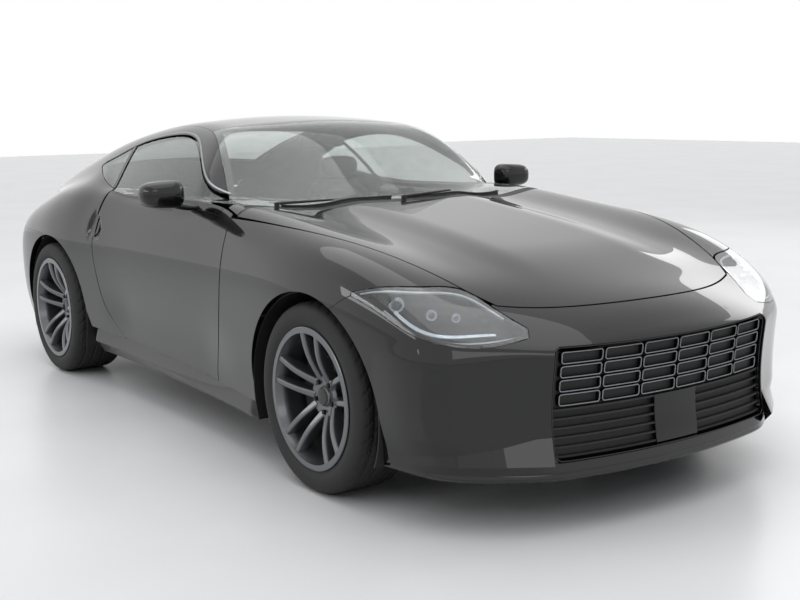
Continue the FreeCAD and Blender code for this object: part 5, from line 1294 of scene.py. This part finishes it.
def lamps():
    """Headlamps: a clear cover over a black bowl with an upper light line, a projector and a lower arc."""
    f = 0.9

    def outline(margin):
        return patch(constant(LAMP_ENDS[0] - margin * 0.1), constant(LAMP_ENDS[1] + margin * 0.1),
                     lambda a: LAMP_LOW(a) - margin, lambda a: LAMP_TOP(a) + margin, 700)

    cover = laid(round_nose, outline(-0.2 - f), 72, 22).clipped(lambda p: bonnet_space(p, SHUT))
    pair("lamp_cover", cover.thick(2.5, f), LENS, "shell")
    bowl = laid(round_nose, outline(-1.5), 72, 24, -4).clipped(lambda p: bonnet_space(p, SHUT + 1))

    def sunk(p):
        return -36 * ease((-lamp_space(p, 0)) / 26 - 0.15)

    twin("lamp_bowl", embossed(bowl, sunk).thick(2.5, 0.4), CORE, "shell", "headlamps")

    a = np.linspace(37.5, 66.5, 60)
    brow = round_nose(a, LAMP_TOP(a) - 7 - 3 * np.sin(math.pi * (a - 37.5) / 29))
    twin("lamp_brow", bar_on(brow, -7, 4.2, 6), GUIDE, "shell")
    a = np.linspace(35.5, 60, 60)
    arc = round_nose(a, LAMP_LOW(a) + 12 + 5 * np.sin((a - 35) * 0.28))
    twin("lamp_arc", bar_on(arc, -9, 2.4, 6), GUIDE, "shell")
    a = np.linspace(39, 58, 50)
    blade = round_nose(a, LAMP_LOW(a) + 34 + 9 * np.sin((a - 37) * 0.30))
    twin("lamp_blade", bar_on(blade, -20, 5.5, 3), REFLECTOR, "shell")
    for k, (angle, z, radius) in enumerate(LENSES):
        p = round_nose(np.array([angle]), np.array([z]))
        p = (p - outward(p) * 12)[0]
        aim = unit(np.array([0.93, 0.34, 0.14] if k else [0.90, 0.42, 0.10]))
        ring = rod(p - aim * 26, p - aim * 8, radius + 3)
        dome = rod(p - aim * 10, p - aim * 4, radius - 1, 32, radius * 0.55)
        twin("lamp_ring_%d" % k, ring, REFLECTOR, "shell")
        twin("lamp_lens_%d" % k, dome, BULB_LENS, "shell")


def sill_relief(p):
    """The skirt's crease: above it the face leans back upwards, below it the face tucks under."""
    x, z = p[..., 0], p[..., 2]
    crease = 239 - (x - SILL_REAR) / (SILL_FRONT - SILL_REAR) * 50
    top = ease((sill_top(x) - z) / 3 + 0.2)
    proud = 22 * ease((x - SILL_REAR - 7) / 60) * ease((SILL_FRONT - 8 - x) / 60)
    return proud * top - 0.55 * np.maximum(z - crease, 0) * top - 0.35 * np.maximum(crease - z, 0)


def sills():
    """The sill skins, cut round both wheel openings."""
    f = FOLD_RADIUS
    outline = patch(constant(SILL_REAR + f), constant(SILL_FRONT - f), constant(SILL_LOW + f),
                    lambda x: sill_top(x) - f, 200)
    sheet = laid(from_side, outline, 140, 22).cut(lambda p: arch(p, FRONT_ARCH, f),
                                                  lambda p: arch(p, REAR_ARCH, f))
    twin("sill_skin", embossed(sheet, sill_relief).thick(20), PAINT, "shell", "sills")


def tail():
    """Rear bumper, plate recess, lamp band with its light rings, diffuser with fins, and pipe tips."""
    f = FOLD_RADIUS
    outline = patch(constant(-BUMPER_REAR_SIDE), constant(BUMPER_REAR_SIDE), constant(BUMPER_REAR_LOW + f),
                    constant(BUMPER_REAR_TOP - f), 450)
    sheet = laid(round_tail, outline, 212, 46).cut(
        lambda p: arch(p, REAR_ARCH, f), lambda p: diffuser_space(p, f),
        lambda p: BUMPER_REAR_END - SEAM_GAP - f - p[..., 0])

    def plate_recess(p):
        y, z = np.abs(p[..., 1]), np.abs(p[..., 2] - PLATE_Z)
        return -13 * ease((272 - y) / 12) * ease((78 - z) / 12)

    mesh_piece("rear_bumper_skin", embossed(sheet, plate_recess).thick(22), PAINT, "shell", "bumper_rear")
    y, z = lattice(-258, 258, 30, PLATE_Z - 52, PLATE_Z + 52, 8)
    plate = skin(points(TAIL_AXIS, y, z), BACK, 1300) + np.array([10.5, 0, 0])
    mesh_piece("blank_plate", facing(plate, BACK).thick(2, 1), BLANK, "shell")
    band = patch(constant(-LAMP_BAND_END), constant(LAMP_BAND_END), constant(BUMPER_REAR_TOP + SEAM_GAP + 1),
                 constant(LAMP_BAND_TOP - 1), 780)
    mesh_piece("tail_band", laid(round_tail, band, 150, 10).thick(30, 1), SMOKE, "shell", "tail_lamps")
    rings = []
    for z0 in (762, 812):
        t = np.linspace(0, 2 * math.pi, 120, endpoint=False)
        line = round_tail(29 + 15 * bent(np.cos(t), 0.5), z0 + 16 * bent(np.sin(t), 0.5))
        rings.append(bar_on(line, 0.8, 3.0, 2.0, True))
    twin("tail_light_outlines", rings[0].joined(rings[1]), RED, "shell")

    def side(z):
        return DIFFUSER_SIDE + (DIFFUSER_TOP - z) * DIFFUSER_FLARE - SEAM_GAP / 16 - 0.1

    panel = patch(lambda z: -side(z), side, constant(DIFFUSER_LOW + f),
                  constant(DIFFUSER_TOP - SEAM_GAP - f), 330)
    sheet = laid(round_tail, panel, 120, 16, -8).clipped(lambda p: tips_space(p, 1))
    mesh_piece("diffuser_skin", sheet.thick(12), PLASTIC, "shell", "diffuser")
    fins = []
    for y0 in (-270, -90, 90, 270):
        z = np.linspace(262, 372, 20)
        line = skin(points(TAIL_AXIS, np.full(20, float(y0)), z), BACK, 1300)
        fins.append(ribbon(line - BACK * 2, np.broadcast_to(BACK, line.shape), 4, 9))
    mesh_piece("diffuser_fins", merged(fins), PLASTIC, "shell")
    tip = lathe([(36, -60), (40, -60), (40, -3), (39, -1), (37.5, 0), (36, -2), (36, -60)], 64)
    turn = Sheet(tip.p[:, [1, 0, 2]] * [-1.0, 1, 1], tip.n[:, [1, 0, 2]] * [-1.0, 1, 1], tip.t)
    twin("tail_tip", turn.moved((PIPE_END + 0.2, PIPE_Y, PIPE_Z)), CHROME, "shell")


MIRROR = np.array([205.0, 945.0, 1008.0])


def mirrors():
    """A squared egg cut flat behind, on a foot that sweeps up from the door, with a silvered pane."""
    v = np.linspace(-math.pi / 2, math.pi / 2, 41)[:, None]
    u = np.linspace(0, 2 * math.pi, 61)[None, :]
    x = 68 * np.abs(np.cos(v)) ** 0.7 * bent(np.cos(u), 0.8)
    y = 92 * bent(np.sin(u), 0.6) * np.abs(np.cos(v)) ** 0.55
    z = 56 * bent(np.sin(v), 0.62) * (1 - 0.10 * y / 92) + 0 * u
    shell = grid(points(np.maximum(x, -24), y, np.maximum(z, -56))).away_from(0).tidy().moved(MIRROR)
    rings = []
    for k in np.linspace(0, 1, 9):
        ring = []
        for t in np.linspace(0, 2 * math.pi, 28, endpoint=False):
            px = 213 + 37 * bent(math.cos(t), 0.6) * (1 - 0.2 * k)
            pz = 948 + 13 * bent(math.sin(t), 0.6)
            near = float(from_side(np.array([px]), np.array([pz]))[0, 1]) + 1
            ring.append((px, near + (925 - near) * k, pz + 26 * k * k))
        rings.append(ring)
    pair("mirror_shell", shell.joined(tube(rings)), GLOSS, "door_SIDE", "mirror_SIDE")
    t = np.linspace(0, 2 * math.pi, 61)[None, :]
    r = np.linspace(0.02, 1, 10)[:, None]
    face = points(-24.6 + 0 * r * t, 74 * r * bent(np.cos(t), 0.7), 42 * r * bent(np.sin(t), 0.7)) + MIRROR
    pair("mirror_pane", facing(face, BACK).thick(1.2, 0.3), SILVERED, "door_SIDE")


# Wheels and tyres, built round their own centre with the outer face towards +Y
def smooth_spoke(half, lean):
    """A spoke from hub to rim: squarish rings along a curve through three cuts of the solid's spoke."""
    radii = np.array([56.0, 140.0, 232.0])
    table = {"offset": (26, 34, 46), "half": (19, 16, 15), "low": (28, 46, half - 34),
             "high": (60, half - 22, half - 4)}
    curve = {k: Curve(*zip(radii, v)) for k, v in table.items()}
    rings = []
    t = np.linspace(0, 2 * math.pi, 28, endpoint=False)
    c = bent(np.cos(t), 0.45)
    s = bent(np.sin(t), 0.55)
    for r in np.linspace(56, 232, 16):
        w = (curve["low"](r) + curve["high"](r)) / 2
        tall = (curve["high"](r) - curve["low"](r)) / 2
        across = lean * curve["offset"](r) + curve["half"](r) * c * (0.92 - 0.16 * s)
        rings.append(np.stack([across, w + tall * s, np.full(28, r)], 1))
    return tube(rings)


NUT_CIRCLE = 57.0
SPOKE_PAIRS = 5


def wheel_sheets(width):
    """Rim, hub and spokes as one sheet, and the lug nuts, the cap, the brake disc and the valve."""
    half = width / 2 - 4
    rim = lathe([(235.3, half), (240, half + 0.0), (254, half), (257.3, half - 2), (257.3, half - 6),
                 (241.3, half - 9), (241.3, half - 60), (227.3, half - 72), (227.3, 74 - half),
                 (241.3, 60 - half), (241.3, 9 - half), (257.3, 6 - half), (257.3, -half), (235.3, -half),
                 (219.3, 60 - half), (219.3, half - 50), (226, half - 26), (232, half - 10),
                 (235.3, half)], 120)
    hub = lathe([(0, 66), (20, 65.5), (32, 63), (36, 58), (38, 52), (52, 55), (70, 60), (78, 57), (82, 50),
                 (82, 22), (0, 22)], 96, 50)
    spokes = []
    for k in range(SPOKE_PAIRS):
        for lean in (-1, 1):
            spokes.append(turned_about_y(smooth_spoke(half, lean), 72 * k))
    metal = rim.joined(hub, *spokes)
    nuts = []
    for k in range(SPOKE_PAIRS):
        a = math.radians(72 * k + 36)
        c = np.array([NUT_CIRCLE * math.sin(a), 0, NUT_CIRCLE * math.cos(a)])
        nuts.append(rod(c + [0, 52, 0], c + [0, 63, 0], 9.5, 6))
        nuts.append(rod(c + [0, 63, 0], c + [0, 66, 0], 7.5, 24, 5))
    cap = lathe([(0, 68), (24, 67.5), (30, 66), (33, 63), (33, 60), (0, 60)], 64)
    disc = lathe([(30, -110), (30, -61), (70, -61), (70, -45), (177, -45), (178, -44), (178, -33),
                  (172, -33), (172, -27), (178, -27), (178, -16), (177, -15), (92, -15), (86, 21.5),
                  (0, 21.5), (0, -110)], 120)
    a = math.radians(36)
    foot = np.array([224 * math.sin(a), half - 30, 224 * math.cos(a)])
    valve = rod(foot, foot + np.array([-14 * math.sin(a), 22, -14 * math.cos(a)]), 4.2, 16, 3.4)
    return metal, merged(nuts), cap, disc, valve


GROOVE_DEPTH = 5.5
CUT_DEPTH = 3.0


def tyre_sheet(radius, width):
    """A closed ring: a rounded section swept round, with the tread cut in by a height that repeats
    along the way: four grooves round the tyre and slanted cuts across its blocks."""
    h = width / 2
    corner = np.array([(241.6, h - 18), (258, h - 12), (radius - 60, h), (radius - 30, h - 1),
                       (radius - 9, h - 13), (radius, h - 38), (radius, h - 60)], float)
    loop = np.concatenate([corner, (corner * [1, -1])[::-1]])
    for _ in range(2):
        nxt = np.roll(loop, -1, 0)
        loop = np.stack([loop * 0.75 + nxt * 0.25, loop * 0.25 + nxt * 0.75], 1).reshape(-1, 2)
    keep = loop[:, 0] < radius - 2.0
    start = int(np.nonzero(~keep & np.roll(keep, 1))[0][0])
    loop = np.roll(loop, -start, 0)
    keep = loop[:, 0] < radius - 2.0
    crown = loop[~keep]
    w = np.linspace(crown[0, 1], crown[-1, 1], 58)
    fall = np.interp(np.abs(w), [0, h - 55, h - 30, h - 20], [0.2, 0.6, 1.6, 4])
    crown = np.stack([radius - fall, w], 1)
    loop = np.concatenate([crown, loop[keep]])
    loop = np.concatenate([loop, loop[:1]])
    steps = 228
    a = np.linspace(0, 2 * math.pi, steps + 1)
    r, w = loop[:, :1], loop[:, 1:]
    t = np.gradient(loop, axis=0)
    t[0] = t[-1] = loop[1] - loop[-2]
    t /= np.linalg.norm(t, axis=1, keepdims=True)
    sign = -1.0 if t[0, 1] < 0 else 1.0
    nr = sign * t[:, 1:]
    tread = ease((r - radius + 8) / 4)
    groove = np.zeros_like(w)
    for centre in (-0.27, -0.09, 0.09, 0.27):
        groove = np.maximum(groove, 1 - ease((np.abs(w / width - centre) * width - 4) / 2.5))
    slant = (np.arange(steps + 1)[None, :] + np.abs(w) * 0.10) % 6
    cross = (slant < 1.2) * (np.abs(w) > 0.12 * width) * (np.abs(w) < h - 16)
    r = r - tread * (GROOVE_DEPTH * groove + CUT_DEPTH * cross)
    p = points(r * np.cos(a), w + 0 * a, r * np.sin(a))
    du = np.gradient(p, axis=0)
    dv = np.gradient(p, axis=1)
    n = unit(np.cross(du, dv))
    out = points(nr * np.cos(a), sign * -t[:, :1] + 0 * a, nr * np.sin(a))
    n *= np.sign((n * out).sum())
    smooth = (n * out).sum(-1, keepdims=True) < 0.2
    n = np.where(smooth, out, n)
    n[:, 0] = n[:, -1] = (n[:, 0] + n[:, -1]) / np.linalg.norm(n[:, 0] + n[:, -1], axis=-1, keepdims=True)
    return grid(p, n)


# Station, half track, loaded radius and width of the tyres at each end
WHEELS = {"front": (FRONT_AXLE, 777.5, 343.3, 255.0), "rear": (REAR_AXLE, 782.5, 337.5, 275.0)}


def wheels():
    """All four, with their own tyre radius and width at each end of the car."""
    names = ("rim_", "lug_nuts_", "hub_cap_", "brake_disc_", "valve_", "rubber_")
    looks = (WHEEL_GREY, ZINC, GLOSS, IRON, ZINC, RUBBER)
    for end, (x, y, radius, width) in WHEELS.items():
        body = "wheel_%s_SIDE" % end
        nodes = {"rim_": [body], "rubber_": ["tyre_%s_SIDE" % end]}
        sheets = (*wheel_sheets(width), tyre_sheet(radius, width))
        for name, sheet, material in zip(names, sheets, looks):
            pair(name + end, sheet.moved((x, y, radius)), material, body, *nodes.get(name, []))


def fangs():
    """The bumper's lower corners: a wedge that stands out from the skin beside the mouth and fades
    away round the corner."""
    t = np.linspace(0, 1, 40)
    angle = 29.4 + 27 * t
    top = round_nose(angle, 326 - 14 * t)
    foot = round_nose(angle, 214 + 0 * t)
    edge = round_nose(angle, 240 - 4 * t)
    edge = edge + outward(edge) * (30 * (1 - t) ** 1.3 + 1.0)[:, None]
    top = top - outward(top) * 1.0
    foot = foot + outward(foot) * (8 * (1 - t))[:, None]
    faces = []
    centre = (top + foot + edge) / 3
    for a, b in ((top, edge), (edge, foot), (foot, top)):
        k = np.linspace(0, 1, 9)[None, :, None]
        p = a[:, None] * (1 - k) + b[:, None] * k
        faces.append(grid(p).away_from(np.repeat(centre, 9, axis=0)))
    inner = np.array([[top[0], edge[0]], [foot[0], foot[0]]])
    faces.append(facing(inner, np.array([0.0, -1.0, 0.0])).tidy())
    twin("bumper_fangs", merged(faces), PAINT, "shell")


def wipers():
    """Two arms and blades that follow the windscreen at a small height."""
    arms = []
    for first, last, foot in ((-600, -70, -640), (-20, 560, -60)):
        y = np.linspace(first, last, 50)
        t = np.linspace(0, 1, 50)
        line = from_above(cowl(y) - 66 - 34 * t, y)
        n = outward(line)
        arms.append(ribbon(line + n * 9, n, 4.5, 5))
        arms.append(ribbon(line + n * 5, n, 2.0, 5))
        pivot = from_above(np.array([cowl(foot) - 20]), np.array([float(foot)]))[0]
        elbow = line[22] + n[22] * 16
        arms.append(rod(pivot + [0, 0, 16], elbow, 6, 16, 4))
        arms.append(rod(pivot + [0, 0, -4], pivot + [0, 0, 20], 11, 24))
    mesh_piece("wipers", merged(arms), PLASTIC, "shell")


# The pads' cloth: cell size in metres, steps, and pressure
CLOTH_CELL = 0.0075
CLOTH_STEPS = 20
CLOTH_PRESSURE = 4.0
SEAT_Y = 394.0
SEAT_LEAN = -9


def swollen(sheet, name, cap):
    """A pad blown up as cloth: remeshed, pressed out for twenty steps, and held to within a cap."""
    mesh = bpy.data.meshes.new(name)
    mesh.from_pydata((sheet.p * MM).tolist(), [], sheet.t.tolist())
    piece = placed(name, mesh)
    remesh = piece.modifiers.new("remesh", "REMESH")
    remesh.mode = "VOXEL"
    remesh.voxel_size = CLOTH_CELL
    view = bpy.context.view_layer
    view.update()
    solid = bpy.data.meshes.new_from_object(piece.evaluated_get(bpy.context.evaluated_depsgraph_get()))
    piece.modifiers.clear()
    piece.data = solid
    rest = read(solid.vertices, "co")
    cloth = piece.modifiers.new("cloth", "CLOTH")
    cloth.settings.use_pressure = True
    cloth.settings.uniform_pressure_force = CLOTH_PRESSURE
    cloth.settings.effector_weights.gravity = 0.0
    cloth.settings.quality = 5
    for step in range(1, CLOTH_STEPS + 1):
        bpy.context.scene.frame_set(step)
    blown = bpy.data.meshes.new_from_object(piece.evaluated_get(bpy.context.evaluated_depsgraph_get()))
    move = read(blown.vertices, "co") - rest
    far = np.linalg.norm(move, axis=1, keepdims=True)
    move *= np.minimum(1.0, cap * MM / np.maximum(far, 1e-9))
    blown.vertices.foreach_set("co", (rest + move).ravel())
    blown.update()
    blown.calc_loop_triangles()
    normals = read(blown.vertices, "normal").astype(float)
    corners = read(blown.loop_triangles, "vertices", np.int32).astype(int)
    bpy.context.scene.frame_set(1)
    bpy.data.objects.remove(piece)
    return Sheet((rest + move).astype(float) / MM, normals, corners)


def seats():
    """Bucket seats: cushion, back and headrest pads between firm bolsters, on a shell and rails."""
    y = SEAT_Y
    base = rounded_block((-205, y, 392), (225, 200, 55), 5)
    shell = rounded_block((-512, y, 690), (34, 192, 292), 4, tilt=SEAT_LEAN)
    rails = [rounded_block((-205, y + s * 160, 272), (185, 14, 57), 12) for s in (-1, 1)]
    twin("seat_shells", base.joined(shell, *rails), SOFT_SKIN, "shell", "seats")
    pads = {"seat_cushion": (rounded_block((-190, y, 438), (205, 132, 40), 3.4, 30, 44), SUEDE),
            "seat_back": (rounded_block((-462, y, 700), (36, 128, 245), 3.4, 40, 44, tilt=SEAT_LEAN), SUEDE),
            "headrest": (rounded_block((-535, y, 1046), (34, 112, 54), 3.0), LEATHER)}
    for side, s in (("inner", -1), ("outer", 1)):
        pads["cushion_bolster_" + side] = (
            rounded_block((-195, y + s * 176, 452), (205, 32, 48), 2.8), LEATHER)
        pads["back_bolster_" + side] = (
            rounded_block((-440, y + s * 168, 690), (58, 30, 220), 2.8, 40, 30, tilt=SEAT_LEAN), LEATHER)
    for name, (sheet, material) in pads.items():
        for piece in pair(name, swollen(sheet, name, 9), material):
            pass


def cabin():
    """What the dashboard and console carry: hood, display, knobs, vents, gear lever and inner mirror."""
    hood = rounded_block((462, -SEAT_Y, 898), (74, 165, 26), 3.2)
    mesh_piece("instrument_hood", hood, SOFT_SKIN, "shell")
    screen_block = rounded_block((424, 0, 842), (7, 125, 44), 9, tilt=-32)
    mesh_piece("centre_display", screen_block, DISPLAY, "shell")
    knobs = [rod((398, k, 752), (388, k, 750), 17, 32, 15) for k in (-60, 0, 60)]
    vents = [rounded_block((404, k, 770), (9, 48, 24), 8) for k in (-620, -210, 210, 620)]
    mesh_piece("climate_knobs", merged(knobs), CHROME, "shell")
    mesh_piece("air_vents", merged(vents), GLOSS, "shell")
    lever = rod((60, 0, 555), (75, 0, 630), 8, 20)
    knob = rounded_block((78, 0, 645), (24, 22, 28), 2.4)
    boot = rod((60, 0, 548), (62, 0, 585), 42, 32, 16)
    mesh_piece("gear_lever", lever.joined(knob, boot), LEATHER, "shell")
    glass_pod = rounded_block((-52, 0, 1196), (11, 118, 30), 5, tilt=12)
    mesh_piece("inner_mirror", glass_pod.joined(rod((-40, 0, 1210), (-30, 0, 1236), 8)), PLASTIC, "shell")


FINISHES = {"cowl_panel": PLASTIC, "arch_liners": PLASTIC, "front_tray": PLASTIC, "dashboard": SOFT_SKIN,
            "floor_pan": CARPET, "bulkhead": E_COAT, "engine_bay": E_COAT, "rear_floor": E_COAT,
            "front_axle": CASTING, "rear_axle": CASTING, "powertrain": CAST_ALLOY,
            "knuckle_front_left": CASTING, "knuckle_front_right": CASTING, "radiator": CORE,
            "exhaust": STAINLESS, "tailpipes": STAINLESS, "steering_wheel": LEATHER, "luggage_floor": CARPET}


def dress_frame():
    """Gives each frame node that shows its finish."""
    for name, material in FINISHES.items():
        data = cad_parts[name].data
        data.materials.clear()
        data.materials.append(material)


def studio():
    """A pale floor, one wide soft light overhead, two at the sides, and a pale room around."""
    floor = bpy.data.meshes.new("floor")
    far = 30.0
    corners = [(-far, -far, 0), (far, -far, 0), (far, far, 0), (-far, far, 0)]
    floor.from_pydata(corners, [], [(0, 1, 2, 3)])
    plane = placed("floor", floor)
    floor.materials.append(finish_of("painted_screed_floor", "#d8d9da", "#dededf", 900, Roughness=0.32))
    for name, spot, aim, size, power in (
            ("roof_light", (0.2, -0.3, 5.6), (0.2, -0.3, 0.0), (9.0, 4.6), 115),
            ("front_light", (8.5, -3.0, 4.4), (1.0, 0.0, 0.6), (5.0, 2.6), 50),
            ("right_light", (-1.5, -8.0, 3.2), (0.0, 0.0, 0.5), (8.0, 1.5), 110),
            ("left_light", (0.0, 8.0, 3.6), (0.0, 0.0, 0.5), (7.0, 2.0), 90)):
        lamp = bpy.data.lights.new(name, "AREA")
        lamp.shape = "RECTANGLE"
        lamp.size, lamp.size_y = size
        lamp.energy = power
        holder = placed(name, lamp)
        direction = Vector(aim) - Vector(spot)
        holder.rotation_euler = direction.to_track_quat("-Z", "Y").to_euler()
        holder.location = spot
    haze = bpy.data.lights.new("ceiling_glow", "SUN")
    haze.energy = 1.9
    haze.angle = math.radians(100)
    holder = placed("ceiling_glow", haze)
    holder.visible_glossy = False
    holder.rotation_euler = (math.radians(8), math.radians(6), 0)
    world = bpy.data.worlds.new("room")
    world.use_nodes = True
    world.node_tree.nodes.clear()
    rays = add_node(world, "ShaderNodeLightPath")
    seen = (rays, "Is Camera Ray")
    for kind in ("Is Glossy Ray", "Is Transmission Ray"):
        either = add_node(world, "ShaderNodeMath", {"operation": "MAXIMUM"}, {0: seen, 1: (rays, kind)})
        seen = (either, "Value")
    room = add_node(world, "ShaderNodeBackground", inputs={"Color": linear("#b9bcc0"), "Strength": 0.42})
    white = add_node(world, "ShaderNodeBackground", inputs={"Color": linear("#ffffff")})
    mix = add_node(world, "ShaderNodeMixShader",
                   inputs={"Fac": seen, 1: (room, "Background"), 2: (white, "Background")})
    add_node(world, "ShaderNodeOutputWorld", inputs={"Surface": (mix, "Shader")})
    bpy.context.scene.world = world
    bpy.context.scene.view_settings.view_transform = "Standard"


# The camera's place in metres, its angles in degrees, its focal length and shift in pixels
EYE = (4.80231, -3.00211, 1.36415)
YAW_PITCH_ROLL = (144.68737, -10.03483, -0.65852)
FOCAL_LENGTH = 1194.7264
SHIFT = 15.5551
PICTURE_WIDTH = 800
SENSOR = 36.0


def camera():
    """The photograph's viewpoint, from a fit to the car's outline and wheels."""
    yaw, pitch, roll = (math.radians(a) for a in YAW_PITCH_ROLL)
    ahead = Vector((math.cos(yaw) * math.cos(pitch), math.sin(yaw) * math.cos(pitch), math.sin(pitch)))
    right = Vector((math.sin(yaw), -math.cos(yaw), 0.0))
    above = right.cross(ahead)
    across = right * math.cos(roll) + above * math.sin(roll)
    above = above * math.cos(roll) - right * math.sin(roll)
    lens = bpy.data.cameras.new("camera")
    lens.sensor_width = SENSOR
    lens.lens = FOCAL_LENGTH / PICTURE_WIDTH * SENSOR
    lens.shift_y = SHIFT / PICTURE_WIDTH
    lens.clip_end = 200.0
    eye = placed("camera", lens)
    matrix = Matrix((across, above, -ahead)).transposed().to_4x4()
    matrix.translation = Vector(EYE)
    eye.matrix_world = matrix
    bpy.context.scene.camera = eye


for build in (doors, fenders, quarters, handles, bonnet, roof, cantrails, screen, glass, hatch,
              front_bumper, fangs, grille, lamps, sills, tail, mirrors, wipers, wheels, seats, cabin,
              dress_frame, studio, camera):
    build()
